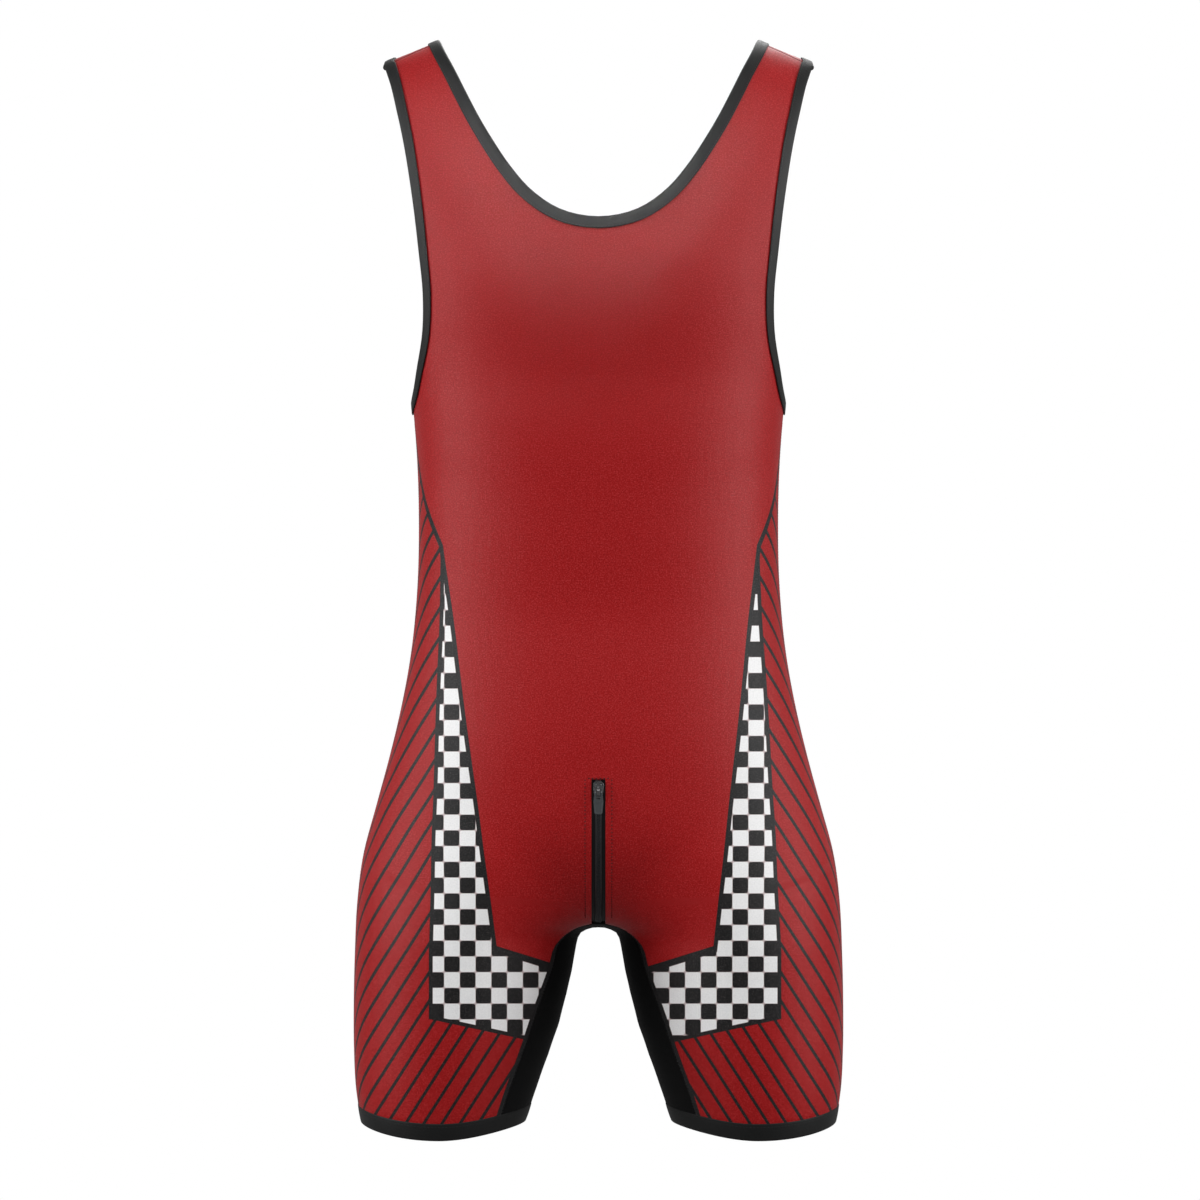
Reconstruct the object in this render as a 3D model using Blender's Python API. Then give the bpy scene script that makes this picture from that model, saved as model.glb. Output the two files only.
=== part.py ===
# Wrestling singlet, worn form with no wearer: each cut and sewn piece is its own closed solid.
# Metres, +Z up. The front faces -Y, the wearer's left is +X, and the origin lies midway between
# the undersides of the two shoulder straps, where the shoulders carry the garment.

import bpy
import bmesh
import numpy as np
from mathutils import Matrix, Vector

MM = 0.001

# Cloth and sewing
wall = 1.6 * MM
seam_gap = 0.3 * MM
binding_width = 8.5 * MM
binding_wall = 1.0 * MM
hem_band_height = 13 * MM

# Heights along the garment
strap_middle = 149 * MM
shoulder_fall = 0.40
shoulder_arch = 150 * MM
shoulder_seam_forward = 14 * MM
armpit = -280 * MM
zip_top = -575 * MM
zip_bottom = -693 * MM
seat_turn = -590 * MM
crotch = -698 * MM
hem = -859 * MM
band_top = hem + hem_band_height
# At the sides of each leg the hem is cut higher than in front and behind
hem_rise = 6.5 * MM
hem_rise_from = -700 * MM

# The trunk's section is fuller than a round, and turns into the legs' rounds between two heights
trunk_power = 2.5
legs_from, legs_full = -600 * MM, -720 * MM


# A table is written with a row for each section or point, and kept as one array for each column
def table(columns, rows):
    return {name: np.array([row[k] for row in rows]) * MM for k, name in enumerate(columns)}


# Fly zip: the slit, the tapes behind it and the closed chain between them
slit_half = 5.4 * MM
tape_reach = 12.5 * MM
tape_wall = 0.8 * MM
tape_clearance = 0.4 * MM
chain_half = 1.9 * MM
chain_wall = 2.4 * MM
chain_inset = 0.2 * MM
chain_below_top = 1.0 * MM
chain_above_end = 0.5 * MM

# The slider, its bridge and the pull tab. Lengths run down from the slider's upper end, and
# the tab's from its axle.
slider_size = (8.0 * MM, 13.0 * MM, 2.6 * MM)
slider_drop = 1.5 * MM
slider_sides = ((0.36, 0.0), (0.5, 0.14), (0.5, 0.5), (0.36, 1.0))
bridge_half = 1.1 * MM
bridge_room = 2.0 * MM
bridge_wall = 0.8 * MM
bridge_sunk = 0.5 * MM
bridge_foot = 1.0 * MM
bridge_from, bridge_to = 5.5 * MM, 11.2 * MM
axle_at = 9.0 * MM
pull_wall = 1.0 * MM
pull_eye = table(("half_width", "length"), ((1.6, 0.5), (1.6, 4.6)))
pull_sides = table(("half_width", "length"), ((3.0, -0.5), (3.9, 6.5), (3.2, 15.2), (2.2, 16.2)))

# The body that the cloth takes its form from: half width, and depth in front of and behind
# the side seams
body = table(("height", "half_width", "front", "back"), (
    (-900, 185.0, 70, 72),
    (-859, 190.0, 74, 76),
    (-830, 194.0, 80, 82),
    (-800, 195.4, 85, 88),
    (-760, 195.6, 90, 96),
    (-715, 194.6, 95, 106),
    (-680, 193.0, 99, 117),
    (-640, 188.0, 102, 124),
    (-600, 177.4, 103, 122),
    (-560, 166.6, 103, 115),
    (-520, 157.2, 101, 106),
    (-480, 150.0, 99, 98),
    (-430, 145.0, 96, 91),
    (-370, 143.6, 97, 89),
    (-320, 145.2, 101, 93),
    (-280, 148.6, 105, 98),
    (-240, 153.5, 109, 103),
    (-190, 163.0, 111, 108),
    (-120, 180.0, 106, 110),
    (-60, 192.0, 98, 104),
    (40, 205.0, 92, 96),
))

# Half of the space between the legs, and how far out each leg's middle lies
legs = table(("height", "half_gap", "middle"), (
    (-900, 75.0, 130.0),
    (-862, 59.0, 125.0),
    (-830, 48.8, 121.6),
    (-804, 40.0, 118.0),
    (-779, 31.8, 114.4),
    (-753, 25.6, 110.8),
    (-734, 21.4, 108.4),
    (-716, 18.4, 106.2),
    (-708, 17.0, 105.4),
    (-703, 15.0, 104.8),
    (-700, 10.0, 104.4),
    (-698, 0.0, 104.2),
    (-640, 0.0, 97.0),
    (-560, 0.0, 88.0),
))

# Edges of the cut panels, from the shoulder seam down
front_neck = table(("half_width", "depth", "height"), (
    (127.5, -14, 9.0),
    (122.0, -36, -4.0),
    (114.5, -52, -19.0),
    (104.5, -68, -40.0),
    (94.5, -80, -60.0),
    (83.0, -90, -80.0),
    (70.0, -98, -100.0),
    (54.0, -103, -119.0),
    (30.0, -107, -135.5),
    (0.0, -108, -141.5),
))
back_neck = table(("half_width", "depth", "height"), (
    (127.5, -14, 9.0),
    (127.5, 20, 7.0),
    (124.5, 50, -14.0),
    (117.0, 76, -45.0),
    (105.0, 92, -80.0),
    (87.0, 102, -113.0),
    (62.0, 107, -141.0),
    (32.0, 109, -157.0),
    (0.0, 109, -162.0),
))
front_armhole = table(("half_width", "depth", "height"), (
    (170.5, -14, -8.0),
    (166.0, -36, -26.0),
    (161.5, -52, -50.0),
    (153.0, -66, -90.0),
    (146.5, -72, -130.0),
    (142.5, -71, -165.0),
    (139.0, -67, -200.0),
    (139.0, -58, -228.0),
    (142.5, -43, -252.0),
    (146.8, -26, -271.5),
    (148.6, 0, -280.0),
))
back_armhole = table(("half_width", "depth", "height"), (
    (170.5, -14, -8.0),
    (168.5, 10, -7.5),
    (161.0, 48, -36.0),
    (152.5, 66, -75.0),
    (145.5, 75, -118.0),
    (140.5, 76, -160.0),
    (138.0, 70, -198.0),
    (139.0, 58, -228.0),
    (142.5, 42, -252.0),
    (146.8, 25, -271.5),
    (148.6, 0, -280.0),
))

# The seam between a panel and the inner-leg gusset, from the crotch down
gusset_seam = table(("half_width", "height"), (
    (5.4, -693.0),
    (18.0, -697.0),
    (30.5, -706.5),
    (36.7, -727.0),
    (48.4, -760.0),
    (60.0, -796.0),
    (71.5, -828.0),
    (77.2, -846.0),
))

# How the panels' grids are divided
neck_rows = 9
armhole_rows = 12
zip_top_row = 21
gusset_row = 26
last_row = 34
across = 10
gusset_across = 8
band_sides = 32
# Rows lie closer together at an edge's start, and down the middle above the zip
edge_crowding = 0.2
middle_crowding = 0.6
# Where the first column beside the neck's binding lies, as a share of the way to the armhole's
first_column = 0.09
# The columns swing round an axis that moves from the trunk's middle to the legs'
axis_from, axis_full = -500 * MM, -700 * MM
gusset_samples = 400

# Steps towards the body's surface
settle_rounds = 12
settle_stride = 6 * MM
slope_step = 0.05 * MM

cloth_red = (0.34, 0.012, 0.020)
cloth_black = (0.012, 0.012, 0.013)
dark_metal = (0.045, 0.046, 0.050)
slate = (0.020, 0.022, 0.026)


# Smooth curves, the body and its normals

# A cubic through the knots, which rise
def smooth(at, knots, values):
    slopes = np.gradient(values, knots)
    at = np.clip(at, knots[0], knots[-1])
    k = np.clip(np.searchsorted(knots, at) - 1, 0, len(knots) - 2)
    step = knots[k + 1] - knots[k]
    t = (at - knots[k]) / step
    near = values[k] * (1 + 2 * t) + slopes[k] * step * t
    far = values[k + 1] * (3 - 2 * t) + slopes[k + 1] * step * (t - 1)
    return near * (1 - t) ** 2 + far * t ** 2


def ease(at, low, high):
    t = np.clip((at - low) / (high - low), 0, 1)
    return t * t * (3 - 2 * t)


def half_width(z):
    return smooth(z, body["height"], body["half_width"])


def half_gap(z):
    return np.sqrt(np.interp(z, legs["height"], legs["half_gap"] ** 2))


def leg_middle(z):
    return smooth(z, legs["height"], legs["middle"])


# The depth at the middle, in front (y below zero) or behind
def depth_at(z, y):
    return np.where(y < 0, smooth(z, body["height"], body["front"]), smooth(z, body["height"], body["back"]))


# How far forward or back the surface reaches, squared, as a share of the depth at the middle
def reach(x, z):
    x = np.abs(x)
    wide = half_width(z)
    gap = half_gap(z)
    middle = leg_middle(z)
    trunk = 1 - (x / wide) ** trunk_power
    leg = 1 - (np.maximum(x - middle, 0) / (wide - middle)) ** 2
    parted = ease(z, legs_from, legs_full)
    # The trunk parts into two legs along a groove that deepens down to the crotch
    groove = np.clip((seat_turn - z) / (seat_turn - crotch), 0, 1) ** 2
    up_to_middle = np.minimum((x ** 2 - gap ** 2) / (middle ** 2 - gap ** 2), 1)
    valley = 1 - groove * (1 - up_to_middle) ** 2
    # The shoulders close it at the top, in an arch that falls away from the neck
    ridge = wall + shoulder_fall * (strap_middle - x)
    rise = np.maximum(z - ridge + shoulder_arch, 0) / shoulder_arch
    return ((1 - parted) * trunk + parted * leg) * valley * (1 - rise ** 2)


# Below zero inside the body, zero on the cloth's outer face
def form(points):
    x, y, z = points[..., 0], points[..., 1], points[..., 2]
    return (y / depth_at(z, y)) ** 2 - reach(x, z)


def slope(points):
    sides = [form(points + slope_step * axis) - form(points - slope_step * axis) for axis in np.eye(3)]
    return np.stack(sides, axis=-1) / (2 * slope_step)


def normals(points):
    out = slope(points)
    return out / np.linalg.norm(out, axis=-1, keepdims=True)


# Brings points near the body onto it, by the shortest way or along the given axes only
everyway, level, upright = (1, 1, 1), (1, 1, 0), (0, 0, 1)


def settle(points, way=everyway):
    points = np.array(points, dtype=float)
    for _ in range(settle_rounds):
        out = slope(points) * way
        size = np.maximum((out ** 2).sum(axis=-1), 1e-9)
        move = (form(points) / size)[..., None] * out
        length = np.linalg.norm(move, axis=-1, keepdims=True)
        points -= move * np.minimum(1, settle_stride / np.maximum(length, 1e-9))
    return points


# The point of the body's front (face -1) or back (face 1) at a given half width and height
def face_point(x, z, face):
    depth = depth_at(z, face) * np.sqrt(np.maximum(reach(x, z), 0))
    return np.stack(np.broadcast_arrays(x, face * depth, z), axis=-1)


# Lifts the points near a hem by the rise of its cut
def hem_lifted(points):
    y, z = points[:, 1], points[:, 2]
    beside = 1 - (y / depth_at(z, y)) ** 2
    rise = hem_rise * ease(z, hem_rise_from, hem) * beside
    return points + rise[:, None] * (0, 0, 1)


def lengths(points):
    return np.concatenate(([0], np.cumsum(np.linalg.norm(np.diff(points, axis=0), axis=1))))


# Points along a smooth curve through the given ones, at shares of its length
def along(points, shares, last=-1):
    run = lengths(points)
    return np.stack([smooth(shares * run[last], run, column) for column in points.T], axis=-1)


# An edge goes straight across the middle or the side seam to its mirror image. Its points
# are a little closer together at the shoulder, where it turns most.
def edge_curve(edge, rows, mirror):
    points = np.stack([edge["half_width"], edge["depth"], edge["height"]], axis=-1)
    points = np.concatenate((points, [points[-2] * mirror]))
    shares = np.linspace(0, 1, rows + 1)
    return settle(along(points, shares * (1 - edge_crowding * (1 - shares)), last=-2))


# Moves an edge's points along the cloth, square to the edge: inwards is away from its hole
def along_cloth(points, distance, turn):
    run = np.gradient(points, axis=0)
    side = np.cross(normals(points), run) * turn
    return points + side / np.linalg.norm(side, axis=-1, keepdims=True) * distance


# Panels: a grid with rows from the shoulder to the hem and columns from the inner edge out.
# Column 0 is the neck's edge, 1 the line under its binding and then the middle, 2 the first
# one beside the middle, the zip's slit and the gusset's seam. The last two columns are the
# line under the armhole's binding, which goes on as the side seam, and the armhole's edge.

def sweep(starts, ends, face):
    z0, z1 = starts[:, 2], ends[:, 2]

    def axis(z):
        return leg_middle(z) * ease(z, axis_from, axis_full)

    def polar(p, z):
        return np.arctan2(p[:, 0] - axis(z), face * p[:, 1]), np.hypot(p[:, 0] - axis(z), p[:, 1])

    (angle0, radius0), (angle1, radius1) = polar(starts, z0), polar(ends, z1)
    columns = []
    for t in np.linspace(0, 1, across + 1):
        z = z0 + (z1 - z0) * t
        angle = angle0 + (angle1 - angle0) * t
        radius = radius0 + (radius1 - radius0) * t
        columns.append(np.stack([axis(z) + radius * np.sin(angle), face * radius * np.cos(angle), z], axis=-1))
    grid = np.stack(columns, axis=1)
    inner = settle(grid[:, 1:-1])
    inner[-1] = settle(grid[-1, 1:-1], level)
    grid[:, 1:-1] = inner
    return grid


def panel_grid(face, neck, armhole, opened):
    rows = last_row + 1
    top = seam_gap / 2 * face
    neck_edge = edge_curve(neck, neck_rows, (-1, 1, 1))
    neck_edge[-1, 0] = 0
    under_neck = settle(along_cloth(neck_edge, binding_width, -face))
    under_neck[-1, 0] = 0
    arm_edge = edge_curve(armhole, armhole_rows, (1, -1, 1))
    arm_edge[-1] = (half_width(armpit), top, armpit)
    under_arm = settle(along_cloth(arm_edge, -binding_width, -face))
    low = armpit - binding_width
    under_arm[-1] = (half_width(low), top, low)
    # The inner edge below the neck: the middle, then the gusset's seam
    down = np.linspace(0, 1, zip_top_row - neck_rows + 1)
    down *= 1 + middle_crowding * (1 - down)
    middle = np.concatenate((
        under_neck[-1, 2] + (zip_top - under_neck[-1, 2]) * down,
        np.linspace(zip_top, zip_bottom, gusset_row - zip_top_row + 1)[1:],
    ))
    seam = np.stack([gusset_seam["half_width"], gusset_seam["height"]], axis=-1)
    seam = along(seam, np.linspace(0, 1, last_row - gusset_row + 1))
    seam[-1, 1] = band_top
    beside = np.empty((rows, 3))
    middle_points = face_point(0.0 * middle, middle, face)
    beside[neck_rows:gusset_row + 1] = face_point(slit_half + 0 * middle, middle, face)
    beside[gusset_row:] = face_point(seam[:, 0], seam[:, 1], face)
    # The outer edge: under the armhole's binding, then the side seam
    outer = np.empty((rows, 3))
    outer[:armhole_rows + 1] = under_arm
    side = np.linspace(low, band_top, last_row - armhole_rows + 1)
    outer[armhole_rows:] = np.stack([half_width(side), top + 0 * side, side], axis=-1)
    first = settle(under_neck + (outer[:neck_rows + 1] - under_neck) * first_column)
    beside[:neck_rows] = first[:-1]
    last_column = across + 3
    grid = np.full((rows, last_column + 1, 3), np.nan)
    grid[:neck_rows + 1, 0] = neck_edge
    grid[:neck_rows + 1, 1] = under_neck
    grid[neck_rows:gusset_row + 1, 1] = middle_points
    grid[:, 2:last_column] = sweep(beside, outer, face)
    grid[:armhole_rows + 1, last_column] = arm_edge
    # The shoulder seam, alike on both panels
    border = binding_width * np.cos(np.arctan(shoulder_fall))
    near, far = neck["half_width"][0], armhole["half_width"][0]
    x = np.concatenate(([near], np.linspace(near + border, far - border, across + 2), [far]))
    seam_line = np.stack([x, top - shoulder_seam_forward + 0 * x, 0 * x], axis=-1)
    seam_line[:, 2] = shoulder_fall * (strap_middle - x)
    grid[0] = settle(seam_line, upright)
    if opened:
        grid[zip_top_row + 1:, 1] = np.nan
    return grid


# Joins a half grid and its mirror image at the middle into one open surface
def surface(grid):
    index = {}
    points = []
    rows, columns = grid.shape[:2]

    def vertex(i, j, side):
        here = grid[i, j]
        if here[0] == 0:
            side = 1
        if (i, j, side) not in index:
            index[i, j, side] = len(points)
            points.append(here * (side, 1, 1))
        return index[i, j, side]

    faces = []
    for i in range(rows - 1):
        for j in range(columns - 1):
            corners = ((i, j), (i, j + 1), (i + 1, j + 1), (i + 1, j))
            if any(np.isnan(grid[c][0]) for c in corners):
                continue
            for side in (1, -1):
                a, b, c, d = (vertex(*corner, side) for corner in corners)
                faces += [(a, b, c)[::side], (a, c, d)[::side]]
    return np.array(points), faces


# Solids

def material(name, colour, roughness, metallic=0.0):
    made = bpy.data.materials.new(name)
    made.use_nodes = True
    shader = made.node_tree.nodes["Principled BSDF"]
    shader.inputs["Base Color"].default_value = (*colour, 1)
    shader.inputs["Roughness"].default_value = roughness
    shader.inputs["Metallic"].default_value = metallic
    return made


def finish(build, name, colour, roughness=0.75, metallic=0.0, frame=None):
    if frame:
        build.transform(frame)
    bmesh.ops.recalc_face_normals(build, faces=build.faces)
    if build.calc_volume(signed=True) < 0:
        bmesh.ops.reverse_faces(build, faces=build.faces)
    mesh = bpy.data.meshes.new(name)
    build.to_mesh(mesh)
    build.free()
    mesh.materials.append(material(name, colour, roughness, metallic))
    made = bpy.data.objects.new(name, mesh)
    bpy.context.scene.collection.objects.link(made)
    return made


def solid(name, points, faces, colour):
    build = bmesh.new()
    vertices = [build.verts.new(p) for p in points]
    for face in faces:
        build.faces.new([vertices[k] for k in face])
    return finish(build, name, colour)


# Gives an open surface its wall: its outer and inner face and a rim along each free edge
def cloth(name, points, faces, colour, outside=0.0, thickness=wall):
    out = normals(points)
    count = len(points)
    both = np.concatenate((points + out * outside, points + out * (outside - thickness)))
    edges = {}
    for face in faces:
        for k, a in enumerate(face):
            edges[a, face[(k + 1) % len(face)]] = True
    rim = [(a, b) for a, b in edges if (b, a) not in edges]
    inner = [tuple(count + k for k in reversed(face)) for face in faces]
    sides = [(b, a, count + a, count + b) for a, b in rim]
    return solid(name, hem_lifted(both), list(faces) + inner + sides, colour)


# A tape folded over an edge. Each stop holds the edge's point, the point under the tape's
# border and which way the panel's quads are split on to the next stop.
def binding(name, stops, colour):
    edge = np.array([stop[0] for stop in stops])
    border = np.array([stop[1] for stop in stops])
    edge_out, border_out = normals(edge), normals(border)
    away = edge - border
    away -= (away * edge_out).sum(axis=1, keepdims=True) * edge_out
    away /= np.linalg.norm(away, axis=1, keepdims=True)
    near, far = seam_gap, seam_gap + binding_wall
    edge_in, border_in = edge - edge_out * wall, border - border_out * wall
    # Round the section: the outer layer, the fold and the inner layer, then back inside it
    ring = np.stack([
        border + border_out * far,
        edge + edge_out * far,
        edge + away * far,
        edge_in + away * far,
        edge_in - edge_out * far,
        border_in - border_out * far,
        border_in - border_out * near,
        edge_in - edge_out * near + away * near,
        edge + edge_out * near + away * near,
        border + border_out * near,
    ], axis=1)
    count, size = ring.shape[:2]
    border_side = (0, 5, 6, 9)
    faces = []
    for k in range(count):
        after = (k + 1) % count
        for m in range(size):
            n = (m + 1) % size
            a, b = k * size + m, k * size + n
            c, d = after * size + n, after * size + m
            from_edge = stops[k][2] == (m not in border_side)
            faces += [(a, b, c), (a, c, d)] if from_edge else [(a, b, d), (b, c, d)]
    return solid(name, ring.reshape(-1, 3), faces, colour)


# The stops of one edge of a half grid, going down, or up again on the mirrored half
def stops_down(grid, edge_column, border_column, rows, side=1):
    split = edge_column < border_column
    return [(grid[i, edge_column] * (side, 1, 1), grid[i, border_column] * (side, 1, 1), split)
            for i in range(rows + 1)]


def stops_up(stops):
    return [(edge, border, not split) for edge, border, split in reversed(stops)]


# Runs the parts of a ring on, with one stop where two pieces meet
def joined(*runs):
    ring = []
    for run in runs:
        if ring and len(run):
            last = ring.pop()
            first = run[0]
            ring.append(((last[0] + first[0]) / 2, (last[1] + first[1]) / 2, first[2]))
            ring += run[1:]
        else:
            ring += run
    last = ring.pop()
    ring[0] = ((last[0] + ring[0][0]) / 2, (last[1] + ring[0][1]) / 2, ring[0][2])
    return ring


# The gusset runs from one hem through the crotch to the other
def gusset_grid(front, back):
    seam_rows = last_row - gusset_row + 1

    def seam_line(grid, face):
        line = np.concatenate(([face_point(0.0, zip_bottom, face)], grid[gusset_row:, 2]))
        full = np.concatenate((line[:0:-1] * (-1, 1, 1), line))
        moved = along_cloth(full, seam_gap, face)[seam_rows:]
        moved[0, 0] = 0
        moved[-1, 2] = band_top
        return moved

    front_line, back_line = seam_line(front, -1), seam_line(back, 1)
    run = lengths(front_line)
    heights = crotch + (band_top - crotch) * np.linspace(0, 1, gusset_samples) ** 2
    line = np.stack([half_gap(heights), 0 * heights, heights], axis=-1)
    length = lengths(line)
    share = run / run[-1] * length[-1]
    inner = np.stack([np.interp(share, length, column) for column in line.T], axis=-1)
    t = np.linspace(0, 1, gusset_across + 1)[None, :, None]
    grid = (front_line[:, None] * (1 - t) * (1 - 2 * t) + inner[:, None] * 4 * t * (1 - t)
            + back_line[:, None] * t * (2 * t - 1))
    settled = settle(grid[:, 1:-1])
    settled[0, :, 0] = 0
    grid[:, 1:-1] = settled
    grid[-1, 1:-1] = settle(grid[-1, 1:-1], level)
    grid[-1, :, 2] = band_top
    return grid


def band(name, side):
    angles = np.linspace(0, 2 * np.pi, band_sides, endpoint=False)
    levels = (band_top - seam_gap, (band_top + hem) / 2, hem)
    rings = []
    for z in levels:
        reach_x, reach_y = half_width(z) - leg_middle(z), depth_at(z, -1)
        ring = np.stack([leg_middle(z) + reach_x * np.cos(angles), reach_y * np.sin(angles),
                         z + 0 * angles], axis=-1)
        rings.append(settle(ring, level) * (side, 1, 1))
    points = np.concatenate(rings)
    faces = []
    for r in range(len(levels) - 1):
        for k in range(band_sides):
            n = (k + 1) % band_sides
            a, b = r * band_sides + k, r * band_sides + n
            faces += [(a, b, b + band_sides), (a, b + band_sides, a + band_sides)]
    return cloth(name, points, faces, cloth_black)


# The fly zip: two tapes behind the panel's slit, the closed chain between them, the slider
# at its top and the pull tab that swings on the slider's bridge

def zip_rows():
    return np.linspace(zip_top, zip_bottom, gusset_row - zip_top_row + 1)


def strip(columns):
    points = np.concatenate(columns)
    rows = len(columns[0])
    faces = []
    for j in range(len(columns) - 1):
        for i in range(rows - 1):
            a, b = j * rows + i, (j + 1) * rows + i
            faces += [(a, b, b + 1), (a, b + 1, a + 1)]
    return points, faces


def tape(name, grid, side):
    slit = grid[zip_top_row:gusset_row + 1, 2].copy()
    slit[0] = face_point(slit_half, zip_top, -1)
    beyond = grid[zip_top_row:gusset_row + 1, 3]
    share = (tape_reach - slit_half) / (beyond[:, :1] - slit[:, :1])
    inner = face_point(chain_half + seam_gap + 0 * zip_rows(), zip_rows(), -1)
    columns = [column * (side, 1, 1) for column in (inner, slit, slit + (beyond - slit) * share)]
    cloth(name, *strip(columns), cloth_black, -(wall + tape_clearance), tape_wall)


def chain():
    heights = zip_rows()
    heights[0] -= chain_below_top
    heights[-1] += chain_above_end
    columns = [face_point(x + 0 * heights, heights, -1) for x in (-chain_half, 0.0, chain_half)]
    cloth("zip_chain", *strip(columns), dark_metal, -chain_inset, chain_wall)


# Places along the slider: x across, t down from its upper end and n out from the chain's face
def slider_frame():
    top, below = face_point(0.0 * zip_rows()[:2], zip_rows()[:2], -1)
    top, below = top + normals(top) * -chain_inset, below + normals(below) * -chain_inset
    down = Vector(below - top).normalized()
    out = down.cross(Vector((1, 0, 0)))
    start = Vector(top) + down * slider_drop + out * seam_gap
    return Matrix((
        (1, down.x, out.x, start.x),
        (0, down.y, out.y, start.y),
        (0, down.z, out.z, start.z),
        (0, 0, 0, 1),
    ))


def ring(half_widths, lengths_down):
    half = list(zip(half_widths, lengths_down))
    return half + [(-x, t) for x, t in reversed(half)]


# A closed outline at two levels, with walls between them
def plate(build, outline, low, high, across_x):
    if across_x:
        rings = [[build.verts.new((x, t, n)) for t, n in outline] for x in (low, high)]
    else:
        rings = [[build.verts.new((x, t, n)) for x, t in outline] for n in (low, high)]
    build.faces.new(rings[0])
    build.faces.new(rings[1][::-1])
    walls(build, *rings)


def walls(build, low, high):
    for k in range(len(low)):
        n = (k + 1) % len(low)
        build.faces.new((low[k], high[k], high[n], low[n]))


def slider_body():
    build = bmesh.new()
    wide, long, deep = slider_size
    shares = np.array(slider_sides)
    plate(build, ring(shares[:, 0] * wide, shares[:, 1] * long), 0, deep, across_x=False)
    return build


def slider_bridge():
    build = bmesh.new()
    a, b, foot = bridge_from, bridge_to, bridge_foot
    sunk, under = slider_size[2] - bridge_sunk, slider_size[2] + bridge_room
    over = under + bridge_wall
    outline = [(a, sunk), (a, over - foot), (a + foot, over), (b - foot, over), (b, over - foot), (b, sunk),
               (b - foot, sunk), (b - foot, under), (a + foot, under), (a + foot, sunk)]
    plate(build, outline, -bridge_half, bridge_half, across_x=True)
    return build


# The tab has an eye at its upper end, which the slider's bridge passes through
def pull_tab():
    build = bmesh.new()
    outlines = [ring(sides["half_width"], sides["length"]) for sides in (pull_eye, pull_sides)]
    levels = [[[build.verts.new((x, t, n)) for x, t in outline] for outline in outlines]
              for n in (-pull_wall / 2, pull_wall / 2)]
    for eye, rim in levels:
        corners = (rim[0], rim[1], rim[-2], rim[-1])
        for k in range(len(eye)):
            n = (k + 1) % len(eye)
            build.faces.new((eye[k], corners[k], corners[n], eye[n]))
        build.faces.new(rim[1:-1])
    for low, high in zip(*levels):
        walls(build, low, high)
    return build


def slider():
    frame = slider_frame()
    made = finish(slider_body(), "zip_slider", dark_metal, 0.38, 1.0, frame)
    bridge = finish(slider_bridge(), "zip_bridge_union", dark_metal, 0.38, 1.0, frame)
    bridge.hide_render = True
    bridge.hide_viewport = True
    union = made.modifiers.new("bridge", "BOOLEAN")
    union.operation = "UNION"
    union.object = bridge
    axle = Matrix.Translation((0, axle_at, slider_size[2] + bridge_room / 2))
    pull_frame = frame @ axle
    pull = finish(pull_tab(), "zip_pull", slate, 0.5, 0.0, pull_frame.to_3x3().to_4x4())
    pull.location = pull_frame.translation


for left_over in list(bpy.data.objects):
    bpy.data.objects.remove(left_over)

front = panel_grid(-1, front_neck, front_armhole, opened=True)
back = panel_grid(1, back_neck, back_armhole, opened=False)
cloth("front_panel", *surface(front), cloth_red)
cloth("back_panel", *surface(back), cloth_red)
cloth("inner_leg_gusset", *surface(gusset_grid(front, back)), cloth_black)
for name, side in (("leg_band_left", 1), ("leg_band_right", -1)):
    band(name, side)

arm_column, arm_border = across + 3, across + 2
binding("neck_binding", joined(
    stops_down(front, 0, 1, neck_rows),
    stops_up(stops_down(front, 0, 1, neck_rows, -1)),
    stops_down(back, 0, 1, neck_rows, -1),
    stops_up(stops_down(back, 0, 1, neck_rows)),
), cloth_black)
for name, side in (("armhole_binding_left", 1), ("armhole_binding_right", -1)):
    binding(name, joined(
        stops_down(front, arm_column, arm_border, armhole_rows, side),
        stops_up(stops_down(back, arm_column, arm_border, armhole_rows, side)),
    ), cloth_black)

tape("zip_tape_left", front, 1)
tape("zip_tape_right", front, -1)
chain()
slider()
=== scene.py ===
import math
from functools import partial

import bmesh
import bpy
import numpy as np
from mathutils import Matrix, Vector


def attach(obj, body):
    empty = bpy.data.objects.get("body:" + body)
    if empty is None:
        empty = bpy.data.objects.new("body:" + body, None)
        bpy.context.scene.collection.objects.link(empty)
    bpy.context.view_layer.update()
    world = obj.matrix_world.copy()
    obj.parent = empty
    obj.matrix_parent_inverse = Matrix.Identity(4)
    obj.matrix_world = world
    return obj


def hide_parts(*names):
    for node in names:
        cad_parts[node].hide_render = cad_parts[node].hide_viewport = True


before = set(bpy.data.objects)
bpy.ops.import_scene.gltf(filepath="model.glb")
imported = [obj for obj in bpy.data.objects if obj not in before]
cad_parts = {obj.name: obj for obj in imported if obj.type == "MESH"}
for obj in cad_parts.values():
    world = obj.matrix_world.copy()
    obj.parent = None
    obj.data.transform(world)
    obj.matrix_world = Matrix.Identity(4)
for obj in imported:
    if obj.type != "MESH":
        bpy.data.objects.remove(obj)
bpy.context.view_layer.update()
mm, tiny = 0.001, 1e-9
front, back = -1, 1

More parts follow.
